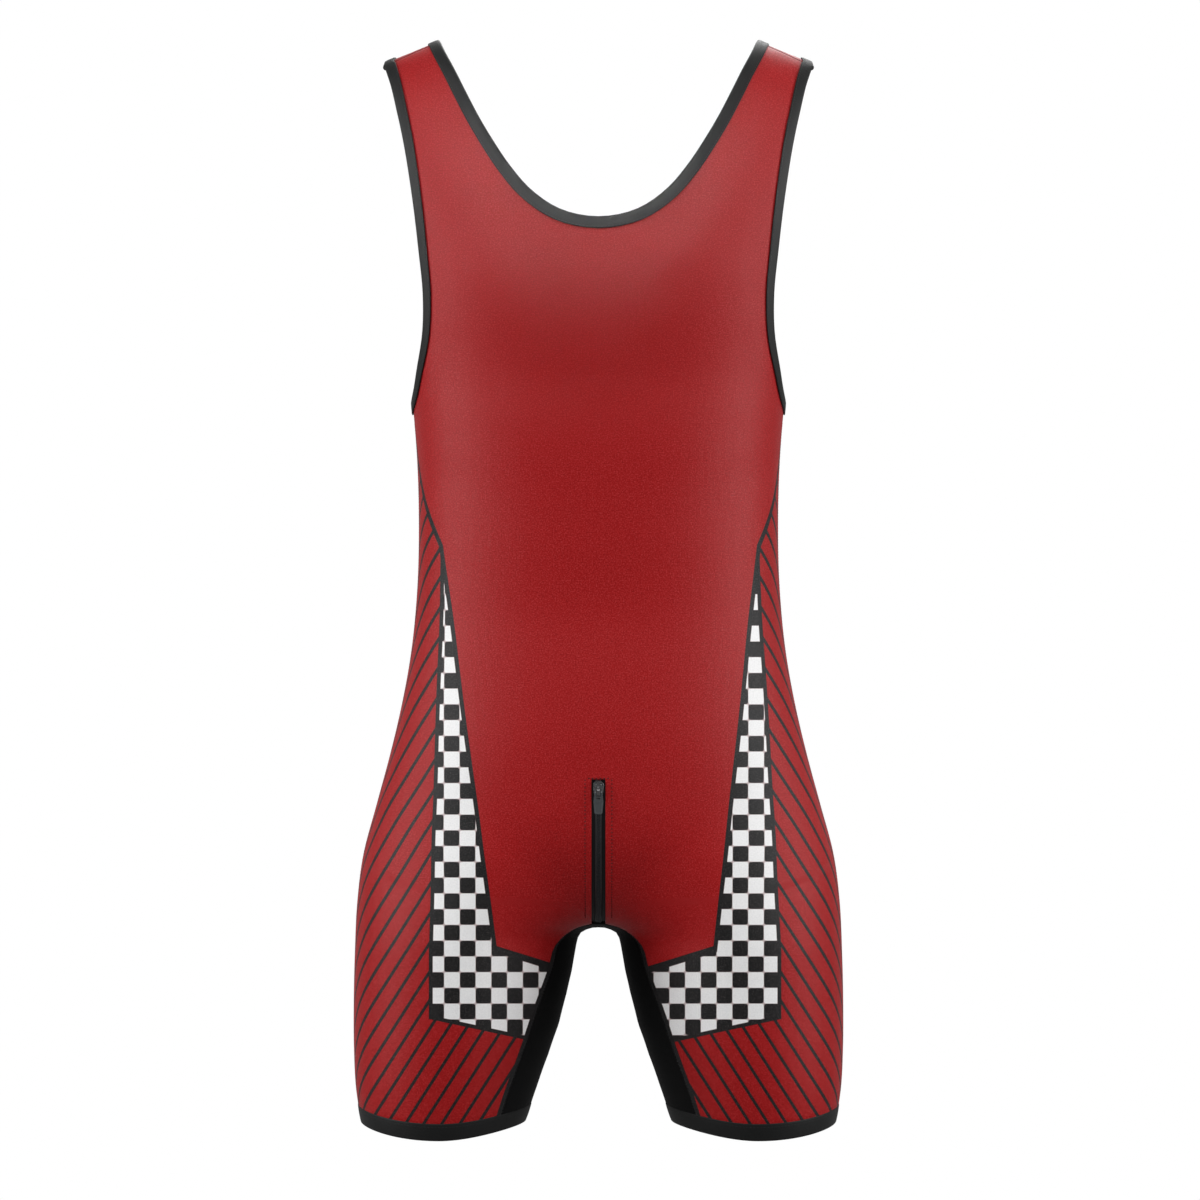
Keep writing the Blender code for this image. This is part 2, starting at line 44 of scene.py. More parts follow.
# The cut, as in the part's source
cut = {
    "wall": 1.6 * mm, "seamGap": 0.3 * mm, "bindingWidth": 8.5 * mm, "bindingWall": 1.0 * mm,
    "strapMiddle": 149 * mm, "shoulderFall": 0.40, "shoulderArch": 150 * mm, "shoulderSeam": 14 * mm,
    "armpit": -280 * mm, "zipTop": -575 * mm, "zipBottom": -693 * mm, "seatTurn": -590 * mm,
    "crotch": -698 * mm, "bandTop": -846 * mm, "hem": -859 * mm, "hemRise": 6.5 * mm,
    "hemRiseFrom": -700 * mm, "trunkPower": 2.5, "legsFrom": -600 * mm, "legsFull": -720 * mm,
    "axisFrom": -500 * mm, "axisFull": -700 * mm, "edgeCrowding": 0.2, "middleCrowding": 0.6,
    "firstColumn": 0.09,
}
settling = {"rounds": 12, "stride": 6 * mm, "step": 0.05 * mm}
# How many rows and columns the cloth's grids have
grids = {
    "neck": 36, "armhole": 48, "zipTop": 84, "gusset": 104, "last": 136, "across": 40,
    "gussetAcross": 24, "innerLeg": 400,
}


def table(columns, rows):
    return {name: np.array([row[k] for row in rows]) * mm for k, name in enumerate(columns)}


def stacked(*parts):  # coordinates put together as points
    return np.stack(np.broadcast_arrays(*parts), axis=-1)


bodyTable = table(("height", "halfWidth", "front", "back"), (
    (-900, 185.0, 70, 72), (-859, 190.0, 74, 76), (-830, 194.0, 80, 82), (-800, 195.4, 85, 88),
    (-760, 195.6, 90, 96), (-715, 194.6, 95, 106), (-680, 193.0, 99, 117), (-640, 188.0, 102, 124),
    (-600, 177.4, 103, 122), (-560, 166.6, 103, 115), (-520, 157.2, 101, 106), (-480, 150.0, 99, 98),
    (-430, 145.0, 96, 91), (-370, 143.6, 97, 89), (-320, 145.2, 101, 93), (-280, 148.6, 105, 98),
    (-240, 153.5, 109, 103), (-190, 163.0, 111, 108), (-120, 180.0, 106, 110), (-60, 192.0, 98, 104),
    (40, 205.0, 92, 96),
))
legTable = table(("height", "halfGap", "middle"), (
    (-900, 75.0, 130.0), (-862, 59.0, 125.0), (-830, 48.8, 121.6), (-804, 40.0, 118.0),
    (-779, 31.8, 114.4), (-753, 25.6, 110.8), (-734, 21.4, 108.4), (-716, 18.4, 106.2),
    (-708, 17.0, 105.4), (-703, 15.0, 104.8), (-700, 10.0, 104.4), (-698, 0.0, 104.2),
    (-640, 0.0, 97.0), (-560, 0.0, 88.0),
))
edgeColumns = ("halfWidth", "depth", "height")
neckTables = {
    front: table(edgeColumns, (
        (127.5, -14, 9.0), (122.0, -36, -4.0), (114.5, -52, -19.0), (104.5, -68, -40.0), (94.5, -80, -60.0),
        (83.0, -90, -80.0), (70.0, -98, -100.0), (54.0, -103, -119.0), (30.0, -107, -135.5),
        (0.0, -108, -141.5),
    )),
    back: table(edgeColumns, (
        (127.5, -14, 9.0), (127.5, 20, 7.0), (124.5, 50, -14.0), (117.0, 76, -45.0), (105.0, 92, -80.0),
        (87.0, 102, -113.0), (62.0, 107, -141.0), (32.0, 109, -157.0), (0.0, 109, -162.0),
    )),
}
armholeTables = {
    front: table(edgeColumns, (
        (170.5, -14, -8.0), (166.0, -36, -26.0), (161.5, -52, -50.0), (153.0, -66, -90.0),
        (146.5, -72, -130.0), (142.5, -71, -165.0), (139.0, -67, -200.0), (139.0, -58, -228.0),
        (142.5, -43, -252.0), (146.8, -26, -271.5), (148.6, 0, -280.0),
    )),
    back: table(edgeColumns, (
        (170.5, -14, -8.0), (168.5, 10, -7.5), (161.0, 48, -36.0), (152.5, 66, -75.0), (145.5, 75, -118.0),
        (140.5, 76, -160.0), (138.0, 70, -198.0), (139.0, 58, -228.0), (142.5, 42, -252.0),
        (146.8, 25, -271.5), (148.6, 0, -280.0),
    )),
}
gussetSeam = table(("halfWidth", "height"), (
    (5.4, -693.0), (18.0, -697.0), (30.5, -706.5), (36.7, -727.0), (48.4, -760.0), (60.0, -796.0),
    (71.5, -828.0), (77.2, -846.0),
))


# The worn form
def smooth(at, knots, values):
    slopes = np.gradient(values, knots)
    at = np.clip(at, knots[0], knots[-1])
    k = np.clip(np.searchsorted(knots, at) - 1, 0, len(knots) - 2)
    step = knots[k + 1] - knots[k]
    t = (at - knots[k]) / step
    near = values[k] * (1 + 2 * t) + slopes[k] * step * t
    far = values[k + 1] * (3 - 2 * t) + slopes[k + 1] * step * (t - 1)
    return near * (1 - t) ** 2 + far * t ** 2


def ease(at, low, high):
    t = np.clip((at - low) / (high - low), 0, 1)
    return t * t * (3 - 2 * t)


def halfWidth(z):
    return smooth(z, bodyTable["height"], bodyTable["halfWidth"])


def halfGap(z):
    return np.sqrt(np.interp(z, legTable["height"], legTable["halfGap"] ** 2))


def legMiddle(z):
    return smooth(z, legTable["height"], legTable["middle"])


def depthAt(z, y):  # in front where y is below zero, else behind
    return np.where(y < 0, *(smooth(z, bodyTable["height"], bodyTable[name]) for name in ("front", "back")))


def reach(x, z):  # squared share of the depth that the cloth reaches at a place
    x = np.abs(x)
    wide, gap, middle = halfWidth(z), halfGap(z), legMiddle(z)
    trunk = 1 - (x / wide) ** cut["trunkPower"]
    leg = 1 - (np.maximum(x - middle, 0) / (wide - middle)) ** 2
    parted = ease(z, cut["legsFrom"], cut["legsFull"])
    groove = np.clip((cut["seatTurn"] - z) / (cut["seatTurn"] - cut["crotch"]), 0, 1) ** 2
    upToMiddle = np.minimum((x ** 2 - gap ** 2) / (middle ** 2 - gap ** 2), 1)
    valley = 1 - groove * (1 - upToMiddle) ** 2
    ridge = cut["wall"] + cut["shoulderFall"] * (cut["strapMiddle"] - x)
    rise = np.maximum(z - ridge + cut["shoulderArch"], 0) / cut["shoulderArch"]
    return ((1 - parted) * trunk + parted * leg) * valley * (1 - rise ** 2)


def form(points):
    x, y, z = points[..., 0], points[..., 1], points[..., 2]
    return (y / depthAt(z, y)) ** 2 - reach(x, z)


def slope(points):
    step = settling["step"]
    sides = [form(points + step * axis) - form(points - step * axis) for axis in np.eye(3)]
    return stacked(*sides) / (2 * step)


def unit(vectors):
    return vectors / np.maximum(np.linalg.norm(vectors, axis=-1, keepdims=True), tiny)


def normals(points):
    return unit(slope(points))


everyway, level, upright = (1, 1, 1), (1, 1, 0), (0, 0, 1)


def settle(points, way=everyway):
    points = np.array(points, dtype=float)
    for _ in range(settling["rounds"]):
        out = slope(points) * way
        size = np.maximum((out ** 2).sum(axis=-1), tiny)
        move = (form(points) / size)[..., None] * out
        length = np.linalg.norm(move, axis=-1, keepdims=True)
        points -= move * np.minimum(1, settling["stride"] / np.maximum(length, tiny))
    return points


def hemLifted(points):  # the hem is cut higher at the sides of each leg
    y, z = points[..., 1], points[..., 2]
    beside = 1 - (y / depthAt(z, y)) ** 2
    rise = cut["hemRise"] * ease(z, cut["hemRiseFrom"], cut["hem"]) * beside
    return points + rise[..., None] * (0, 0, 1)


def facePoint(x, z, face):
    depth = depthAt(z, face) * np.sqrt(np.maximum(reach(x, z), 0))
    return stacked(x, face * depth, z)


def summed(steps, axis):  # running sum from nought, past places that aren't there
    steps = np.nan_to_num(steps)
    return np.concatenate((0 * steps.take([0], axis), np.cumsum(steps, axis=axis)), axis=axis)


def runOf(points, axis=0):  # distance along a line, or along a grid's columns or rows
    return summed(np.linalg.norm(np.diff(points, axis=axis), axis=-1), axis)


def readAlong(points, run, at):  # a line's points at distances along it
    return stacked(*(np.interp(at, run, column) for column in points.T))


def along(points, shares, last=-1):
    run = runOf(points)
    return stacked(*(smooth(shares * run[last], run, column) for column in points.T))


def edgeCurve(edge, rows, mirror):
    points = stacked(*(edge[name] for name in edgeColumns))
    points = np.concatenate((points, [points[-2] * mirror]))
    shares = np.linspace(0, 1, rows + 1)
    return settle(along(points, shares * (1 - cut["edgeCrowding"] * (1 - shares)), last=-2))


def alongCloth(points, distance, turn):
    side = np.cross(normals(points), np.gradient(points, axis=0)) * turn
    return points + unit(side) * distance


def sweep(starts, ends, face):
    z0, z1 = starts[:, 2], ends[:, 2]

    def axis(z):
        return legMiddle(z) * ease(z, cut["axisFrom"], cut["axisFull"])

    def polar(p, z):
        return np.arctan2(p[:, 0] - axis(z), face * p[:, 1]), np.hypot(p[:, 0] - axis(z), p[:, 1])

    (angle0, radius0), (angle1, radius1) = polar(starts, z0), polar(ends, z1)
    columns = []
    for t in np.linspace(0, 1, grids["across"] + 1):
        z = z0 + (z1 - z0) * t
        angle = angle0 + (angle1 - angle0) * t
        radius = radius0 + (radius1 - radius0) * t
        aside, ahead = radius * np.sin(angle), face * radius * np.cos(angle)
        columns.append(stacked(axis(z) + aside, ahead, z))
    grid = np.stack(columns, axis=1)
    inner = settle(grid[:, 1:-1])
    inner[-1] = settle(grid[-1, 1:-1], level)
    grid[:, 1:-1] = inner
    return grid


# Half a panel: rows from the shoulder to the hem, columns from the neck or middle to the armhole or side
def panelGrid(face, opened):
    neck, armhole = neckTables[face], armholeTables[face]
    neckRows, armholeRows, lastRow = grids["neck"], grids["armhole"], grids["last"]
    zipRow, gussetRow = grids["zipTop"], grids["gusset"]
    top = cut["seamGap"] / 2 * face
    neckEdge = edgeCurve(neck, neckRows, (-1, 1, 1))
    neckEdge[-1, 0] = 0
    underNeck = settle(alongCloth(neckEdge, cut["bindingWidth"], -face))
    underNeck[-1, 0] = 0
    armEdge = edgeCurve(armhole, armholeRows, (1, -1, 1))
    armEdge[-1] = (halfWidth(cut["armpit"]), top, cut["armpit"])
    underArm = settle(alongCloth(armEdge, -cut["bindingWidth"], -face))
    low = cut["armpit"] - cut["bindingWidth"]
    underArm[-1] = (halfWidth(low), top, low)
    down = np.linspace(0, 1, zipRow - neckRows + 1)
    down *= 1 + cut["middleCrowding"] * (1 - down)
    middle = np.concatenate((
        underNeck[-1, 2] + (cut["zipTop"] - underNeck[-1, 2]) * down,
        np.linspace(cut["zipTop"], cut["zipBottom"], gussetRow - zipRow + 1)[1:],
    ))
    shares = np.linspace(0, 1, lastRow - gussetRow + 1)
    seam = along(stacked(gussetSeam["halfWidth"], gussetSeam["height"]), shares)
    seam[-1, 1] = cut["bandTop"]
    beside = np.empty((lastRow + 1, 3))
    beside[neckRows:gussetRow + 1] = facePoint(zipValues["slitHalf"], middle, face)
    beside[gussetRow:] = facePoint(seam[:, 0], seam[:, 1], face)
    outer = np.empty((lastRow + 1, 3))
    outer[:armholeRows + 1] = underArm
    side = np.linspace(low, cut["bandTop"], lastRow - armholeRows + 1)
    outer[armholeRows:] = stacked(halfWidth(side), top, side)
    beside[:neckRows] = settle(underNeck + (outer[:neckRows + 1] - underNeck) * cut["firstColumn"])[:-1]
    lastColumn = grids["across"] + 3
    grid = np.full((lastRow + 1, lastColumn + 1, 3), np.nan)
    grid[:neckRows + 1, 0] = neckEdge
    grid[:neckRows + 1, 1] = underNeck
    grid[neckRows:gussetRow + 1, 1] = facePoint(0.0, middle, face)
    grid[:, 2:lastColumn] = sweep(beside, outer, face)
    grid[:armholeRows + 1, lastColumn] = armEdge
    border = cut["bindingWidth"] * np.cos(np.arctan(cut["shoulderFall"]))
    near, far = neck["halfWidth"][0], armhole["halfWidth"][0]
    x = np.concatenate(([near], np.linspace(near + border, far - border, grids["across"] + 2), [far]))
    fall = cut["shoulderFall"] * (cut["strapMiddle"] - x)
    grid[0] = settle(stacked(x, top - cut["shoulderSeam"], fall), upright)
    if opened:
        grid[zipRow + 1:, 1] = np.nan
    return grid


def only(kind, items):
    return [item for item in items if isinstance(item, kind)]


# Makes a grid and moves its points to their places. Places that aren't there are cut away.
def shapedGrid(places, outs, marks=None, mirrored=False, ring=False):
    rows, columns = places.shape[:2]
    build = bmesh.new()
    layer = build.verts.layers.float_vector.new("print")
    bmesh.ops.create_grid(build, x_segments=columns - 1, y_segments=rows - 1, size=0.5)
    missing = []
    lean = 0.0
    for vertex in build.verts:
        row, column = round((vertex.co.y + 0.5) * (rows - 1)), round((vertex.co.x + 0.5) * (columns - 1))
        if np.isnan(places[row, column, 0]):
            missing.append(vertex)
            continue
        vertex.co = places[row, column]
        vertex.normal = outs[row, column]
        if marks is not None:
            vertex[layer] = marks[row, column]
    wanted = {vertex: vertex.normal.copy() for vertex in build.verts}
    bmesh.ops.delete(build, geom=missing, context="VERTS")
    build.normal_update()
    for face in build.faces:
        lean += face.normal.dot(wanted[face.verts[0]]) * face.calc_area()
    if lean < 0:
        bmesh.ops.reverse_faces(build, faces=build.faces)
    if mirrored:
        copied = bmesh.ops.duplicate(build, geom=build.verts[:] + build.edges[:] + build.faces[:])["geom"]
        turned = only(bmesh.types.BMVert, copied)
        bmesh.ops.scale(build, vec=(-1, 1, 1), verts=turned)
        bmesh.ops.reverse_faces(build, faces=only(bmesh.types.BMFace, copied))
        for vertex in turned:
            vertex[layer].x *= -1
    if mirrored or ring:
        bmesh.ops.remove_doubles(build, verts=build.verts, dist=0.01 * mm)
    return build


def meshOf(name, build):
    mesh = bpy.data.meshes.new(name)
    build.to_mesh(mesh)
    build.free()
    return mesh


def placed(name, data):
    made = bpy.data.objects.new(name, data)
    bpy.context.scene.collection.objects.link(made)
    return made


def piece(name, build, looks, body="garment", replaced=(), smoothed=True):
    mesh = meshOf(name, build)
    for look in looks:
        mesh.materials.append(finishes[look])
    if smoothed:
        mesh.shade_smooth()
    made = placed(name, mesh)
    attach(made, body)
    if replaced:
        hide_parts(*replaced)
    return made


# Bevels on the edges of walls that are sharper than the angle
rounding = {
    "cloth": 0.5 * mm, "band": 0.6 * mm, "binding": 0.3 * mm, "zipTape": 0.2 * mm, "steps": 2, "angle": 50,
}


def thicken(made, thickness, kind, inside=0):
    wall = made.modifiers.new("wall", "SOLIDIFY")
    wall.thickness = thickness
    wall.offset = -1
    wall.use_even_offset = True
    wall.material_offset = inside
    edge = made.modifiers.new("edges", "BEVEL")
    edge.width = rounding[kind]
    edge.segments = rounding["steps"]
    edge.limit_method = "ANGLE"
    edge.angle_limit = math.radians(rounding["angle"])


# Where the print lies on a panel, in millimetres: across, up, and out from the gusset's border.
# Facing the front it is the front view's own plane, and round the side it follows the cloth.
view = {"distance": 3.0, "height": -0.4364, "aside": 0.0012, "lens": 112.5, "sensor": 36}
printFit = {
    "turnFrom": 0.7, "sideScale": 0.85, "facingMost": 1.2, "border": 4.8 * mm, "borderFrom": -696 * mm,
    "borderFull": -718 * mm,
}


def printPlaces(grid, face):
    x, y, z = grid[..., 0], grid[..., 1], grid[..., 2]
    nearer = view["distance"] / (view["distance"] - face * y)
    seen = x * nearer
    run = np.hypot(np.diff(x, axis=1), np.diff(y, axis=1))
    facing = np.clip(np.diff(seen, axis=1) / np.maximum(run, tiny), 0, printFit["facingMost"])
    turned = ease(-facing, -printFit["turnFrom"], 0) * (x[:, 1:] > legMiddle(z[:, 1:]))
    across = seen + summed((printFit["sideScale"] - facing) * turned * run, 1)
    up = view["height"] + (z - view["height"]) * nearer
    fromSeam = np.full_like(x, 1.0)
    fromSeam[grids["gusset"]:, 2:] = runOf(grid[grids["gusset"]:, 2:], 1)
    border = printFit["border"] * ease(-z, -printFit["borderFrom"], -printFit["borderFull"])
    return stacked(across, up, fromSeam - border) / mm


# Soft troughs and ridges in the cloth: middle, reach along and across, turn in degrees, height
creaseColumns = ("x", "z", "long", "wide", "turn", "high")
creaseFade = 27 * mm
creases = {
    front: (
        (0, -174, 130, 40, 0, 4.2), (64, -170, 46, 34, 8, 1.3), (-62, -172, 46, 34, -8, 1.4),
        (58, -264, 68, 32, 12, -3.8), (-60, -256, 74, 32, -9, -3.8),
        (-18, -300, 60, 30, 6, -1.2), (8, -452, 120, 34, 0, -2.0), (-30, -392, 90, 36, 8, 1.2),
        (12, -535, 90, 40, -4, 1.6), (54, -640, 52, 15, 52, -1.5), (-58, -648, 46, 14, -50, -1.3),
        (26, -655, 42, 9, 66, -0.9), (-24, -668, 36, 8, -70, -0.8), (104, -352, 44, 18, 34, -0.9),
        (-108, -366, 52, 20, -30, -1.0), (120, -628, 56, 22, 30, 1.1), (-118, -640, 60, 22, -34, 1.0),
    ),
    back: (
        (0, -455, 120, 26, 0, -2.6), (46, -420, 60, 18, 16, 1.2), (-52, -432, 66, 18, -14, 1.3),
        (70, -240, 60, 24, -16, -1.6), (-66, -246, 64, 24, 14, -1.8), (0, -330, 80, 34, 4, -1.0),
        (52, -690, 54, 13, -28, -1.6), (-56, -696, 50, 13, 30, -1.5), (96, -712, 42, 12, -18, -1.1),
        (-98, -720, 44, 12, 20, -1.2), (18, -505, 70, 24, 6, 1.0),
    ),
}


def creased(grid, face):
    out = normals(grid)
    high = 0 * grid[..., 0]
    for row in creases[face]:
        crease = dict(zip(creaseColumns, row))
        turn = math.radians(crease["turn"])
        dx, dz = grid[..., 0] / mm - crease["x"], grid[..., 2] / mm - crease["z"]
        a = (dx * math.cos(turn) + dz * math.sin(turn)) / crease["long"]
        b = (dz * math.cos(turn) - dx * math.sin(turn)) / crease["wide"]
        high = high + crease["high"] * mm * np.exp(-a ** 2 - b ** 2)
    # The seams, the bound edges and the zip keep their places
    slit = grids["zipTop"] if face == front else grids["gusset"]
    neck, outer = grid[:grids["neck"] + 1], grid[:, -2:]
    kept = (grid[0], neck[:, 0], neck[:, 1], grid[slit:, 2], outer[:, 0], outer[:, 1], grid[-1])
    kept = np.concatenate(kept)
    kept = kept[~np.isnan(kept[:, 0])]
    away = np.min([np.linalg.norm(grid - point, axis=-1) for point in kept], axis=0)
    return grid + out * (high * ease(away, 0, creaseFade))[..., None]


# Materials
def newNode(tree, kind, sockets=None, **settings):
    node = tree.nodes.new("ShaderNode" + kind)
    for name, value in settings.items():
        setattr(node, name, value)
    for socket, value in (sockets or {}).items():
        if isinstance(value, bpy.types.NodeSocket):
            tree.links.new(value, node.inputs[socket])
        else:
            node.inputs[socket].default_value = value
    return node.outputs


def mathOn(tree):
    def do(operation, *values, clamp=False):
        return newNode(tree, "Math", dict(enumerate(values)), operation=operation, use_clamp=clamp)[0]
    return do, *(partial(do, name) for name in ("SUBTRACT", "MULTIPLY", "MULTIPLY_ADD"))


def newGroup(name, inputs, outputs):
    group = bpy.data.node_groups.new(name, "ShaderNodeTree")
    for way, sockets in (("INPUT", inputs), ("OUTPUT", outputs)):
        for label in sockets:
            kind = "NodeSocketVector" if label == "Place" else "NodeSocketFloat"
            group.interface.new_socket(label, in_out=way, socket_type=kind)
    return group, group.nodes.new("NodeGroupInput").outputs, group.nodes.new("NodeGroupOutput").inputs


# The printed band of checks with its borders, and the stripes outside it, in millimetres
printed = {
    "shiftTop": 1.2, "shiftLow": 5.3, "kinkSide": 125.6, "kinkHeight": -392.4, "sideLean": 0.4348,
    "innerLean": 0.1214, "cornerSide": 86.65, "cornerHeight": -713.2, "bottomFall": 0.31,
    "outerSide": 127.8, "outerHeight": -404.0, "outerLean": 0.0423, "outerFar": 141.05,
    "lowerHeight": -771.6, "lowerFall": 0.215, "innerBorder": 3.5, "bottomBorder": 5.5, "outerBorder": 3.2,
    "check": 12.6, "checkCentre": 4.4, "checkSide": 127.9, "checkTop": -431.7,
    "stripePitch": 22.8, "stripeRise": 1.5667, "stripeFrom": 10.4, "stripeWide": 2.5, "soft": 0.35,
}


def printGroup():
    group, given, wanted = newGroup("singletPrint", ("Place",), ("Dark", "Light"))
    do, less, times, timesPlus = mathOn(group)
    p = printed
    across, up, fromGusset = newNode(group, "SeparateXYZ", {0: given["Place"]})

    def edged(value):
        return do("ADD", do("DIVIDE", value, p["soft"]), 0.5, clamp=True)

    def cosine(lean):
        return math.cos(math.atan(lean))

    below = less(p["kinkHeight"], up)
    lowered = do("DIVIDE", below, p["kinkHeight"] - p["cornerHeight"], clamp=True)
    shift = timesPlus(lowered, p["shiftLow"] - p["shiftTop"], p["shiftTop"])
    side = do("ABSOLUTE", less(across, shift))
    fromKink = less(side, p["kinkSide"])
    inner, slant = (times(timesPlus(below, lean, fromKink), cosine(lean))
                    for lean in (p["innerLean"], p["sideLean"]))
    fall = timesPlus(side, p["bottomFall"], p["cornerHeight"] - p["bottomFall"] * p["cornerSide"])
    bottomScale = cosine(p["bottomFall"]) * p["innerBorder"] / p["bottomBorder"]
    bottom = times(less(fall, up), bottomScale)
    outOfRed = do("MAXIMUM", do("MINIMUM", inner, slant), bottom)
    outerLine = timesPlus(less(p["outerHeight"], up), p["outerLean"], p["outerSide"])
    outer = less(side, do("MINIMUM", outerLine, p["outerFar"]))
    lowerLine = timesPlus(side, p["lowerFall"], p["lowerHeight"] - p["lowerFall"] * p["outerFar"])
    lower = times(less(lowerLine, up), cosine(p["lowerFall"]))
    intoBand = times(do("MAXIMUM", outer, lower), -1)
    pastBorder = edged(less(outOfRed, p["innerBorder"]))
    checks = times(pastBorder, edged(less(intoBand, p["outerBorder"])))
    stripes = times(pastBorder, less(1, edged(intoBand)))
    border = less(less(edged(outOfRed), checks), stripes)

    checkAcross = do("ABSOLUTE", less(across, p["checkCentre"]))
    turns = math.pi / p["check"]
    waves = [do("SINE", times(less(start, place), turns))
             for start, place in ((p["checkSide"], checkAcross), (p["checkTop"], up))]
    white = edged(do("DIVIDE", times(*waves), turns))
    climb = timesPlus(side, p["stripeRise"], up)
    stripe = do("DIVIDE", less(climb, p["stripeFrom"] - p["stripePitch"] / 2), p["stripePitch"])
    offMiddle = do("ABSOLUTE", less(do("FRACT", stripe), 0.5))
    apart = times(offMiddle, p["stripePitch"] * cosine(p["stripeRise"]))
    line = edged(less(p["stripeWide"] / 2, apart))
    offGusset = edged(fromGusset)
    lightCheck = times(checks, white)
    darkCheck = less(checks, lightCheck)
    printDark = do("ADD", do("ADD", border, darkCheck), times(stripes, line), clamp=True)
    dark = do("MAXIMUM", printDark, less(1, offGusset))
    group.links.new(dark, wanted["Dark"])
    group.links.new(times(lightCheck, offGusset), wanted["Light"])
    return group


# Knit loops in columns, with a fine uneven grain. Height is in loops, Grain is about one, and the third
# output marks light specks painted into the cloth's colour as glints of light on the knit.
knitValues = {
    "loop": 0.35, "lean": 1.6, "rise": 1.15, "grainSize": 1.1, "detail": 3.0, "rough": 0.62,
    # The last two set where the painted glints start in the noise and how strong they are
    "uneven": 1.4, "contrast": 4.0, "paintedGlintFrom": 0.49, "paintedGlint": 0.24,
}


def newNoise(tree, place, scale, detail, rough=0.5):
    sockets = {"Vector": place, "Scale": scale, "Detail": detail, "Roughness": rough}
    return newNode(tree, "TexNoise", sockets)[0]


def knitGroup():
    group, given, wanted = newGroup("knitGrain", ("Place", "Pitch", "Speckle"), ("Height", "Grain", "PaintedGlint"))
    do, less, times, timesPlus = mathOn(group)
    k = knitValues
    place = newNode(group, "SeparateXYZ", {0: given["Place"]})
    turns = do("DIVIDE", 2 * math.pi, given["Pitch"])
    across = times(place[0], turns)
    wale = do("ABSOLUTE", do("SINE", times(across, 0.5)))
    climb = times(place[1], times(turns, k["rise"]))
    loops = timesPlus(do("SINE", timesPlus(wale, k["lean"], climb)), k["loop"], wale)
    noise = newNoise(group, given["Place"], 1 / k["grainSize"], k["detail"], k["rough"])
    uneven = less(noise, 0.5)
    speckle = times(uneven, given["Speckle"])
    # Light specks painted into the colour where the noise peaks, as glints of light on the knit
    paintedGlint = times(less(noise, k["paintedGlintFrom"], clamp=True), k["paintedGlint"])
    group.links.new(timesPlus(uneven, k["uneven"], loops), wanted["Height"])
    group.links.new(timesPlus(speckle, k["contrast"], 1.0), wanted["Grain"])
    group.links.new(paintedGlint, wanted["PaintedGlint"])
    return group


groups = {"print": printGroup(), "knit": knitGroup()}


shaderInputs = {
    "roughness": "Roughness", "metallic": "Metallic", "specular": "Specular IOR Level",
    "sheen": "Sheen Weight", "sheenRough": "Sheen Roughness", "tint": "Sheen Tint",
}


def newMaterial(name, values):
    made = bpy.data.materials.new(name)
    made.use_nodes = True
    shader = made.node_tree.nodes["Principled BSDF"]
    for key, label in shaderInputs.items():
        if key in values:
            shader.inputs[label].default_value = values[key]
    return made, made.node_tree, shader


def mixColours(tree, share, low, high):
    return newNode(tree, "Mix", {0: share, 6: low, 7: high}, data_type="RGBA")[2]


def bumped(tree, shader, height, strength, distance):
    bump = newNode(tree, "Bump", {"Height": height, "Strength": strength, "Distance": distance})
    tree.links.new(bump[0], shader.inputs["Normal"])


def scaledColour(tree, colour, factor):
    return newNode(tree, "VectorMath", {0: colour, "Scale": factor}, operation="SCALE")[0]


clothColours = {
    "red": (0.320, 0.0026, 0.0033, 1), "printBlack": (0.0090, 0.0090, 0.0092, 1),
    # Beside the print's white stands the pale pink of the painted glints
    "white": (0.84, 0.84, 0.84, 1), "paintedGlint": (0.62, 0.50, 0.52, 1), "reverse": (0.62, 0.55, 0.55, 1),
    "reverseRed": (0.55, 0.25, 0.25, 1), "reverseDark": (0.28, 0.27, 0.27, 1),
    "gusset": (0.0022, 0.0022, 0.0023), "elastic": (0.0085, 0.0088, 0.0088), "tape": (0.0080, 0.0082, 0.0085),
}
# The ground's colour comes first, then the print's dark and light parts
clothValues = {
    "printed": {
        # Only the printed cloth gets the painted glints
        "name": "printedCloth", "colours": ("red", "printBlack", "white"), "withPaintedGlints": True,
        "roughness": 0.44, "sheen": 0.10, "sheenRough": 0.22, "tint": (1.0, 0.90, 0.94, 1.0),
        "specular": 0.24, "pitch": 0.9, "speckle": 0.42, "calmed": 0.75, "bump": 0.6, "deep": 0.16 * mm,
    },
    "reverse": {
        "name": "reverseCloth", "colours": ("reverseRed", "reverseDark", "reverse"), "roughness": 0.75,
        "sheen": 0.1, "sheenRough": 0.5, "specular": 0.3, "speckle": 0.06, "bump": 0.35,
    },
    "gusset": {
        "name": "blackStretchCloth", "colours": ("gusset",), "roughness": 0.6, "sheen": 0.02,
        "specular": 0.12,
    },
    "elastic": {
        "name": "blackElasticTape", "colours": ("elastic",), "roughness": 0.5, "sheen": 0.06,
        "specular": 0.24, "pitch": 1.1,
    },
    "tape": {
        "name": "wovenZipTape", "colours": ("tape",), "roughness": 0.55, "sheen": 0.05, "specular": 0.25,
        "pitch": 0.7,
    },
}
clothUsual = {
    "withPaintedGlints": False, "sheenRough": 0.3, "pitch": 0.9, "speckle": 0.2, "calmed": 0.0, "bump": 0.5,
    "deep": 0.12 * mm,
}


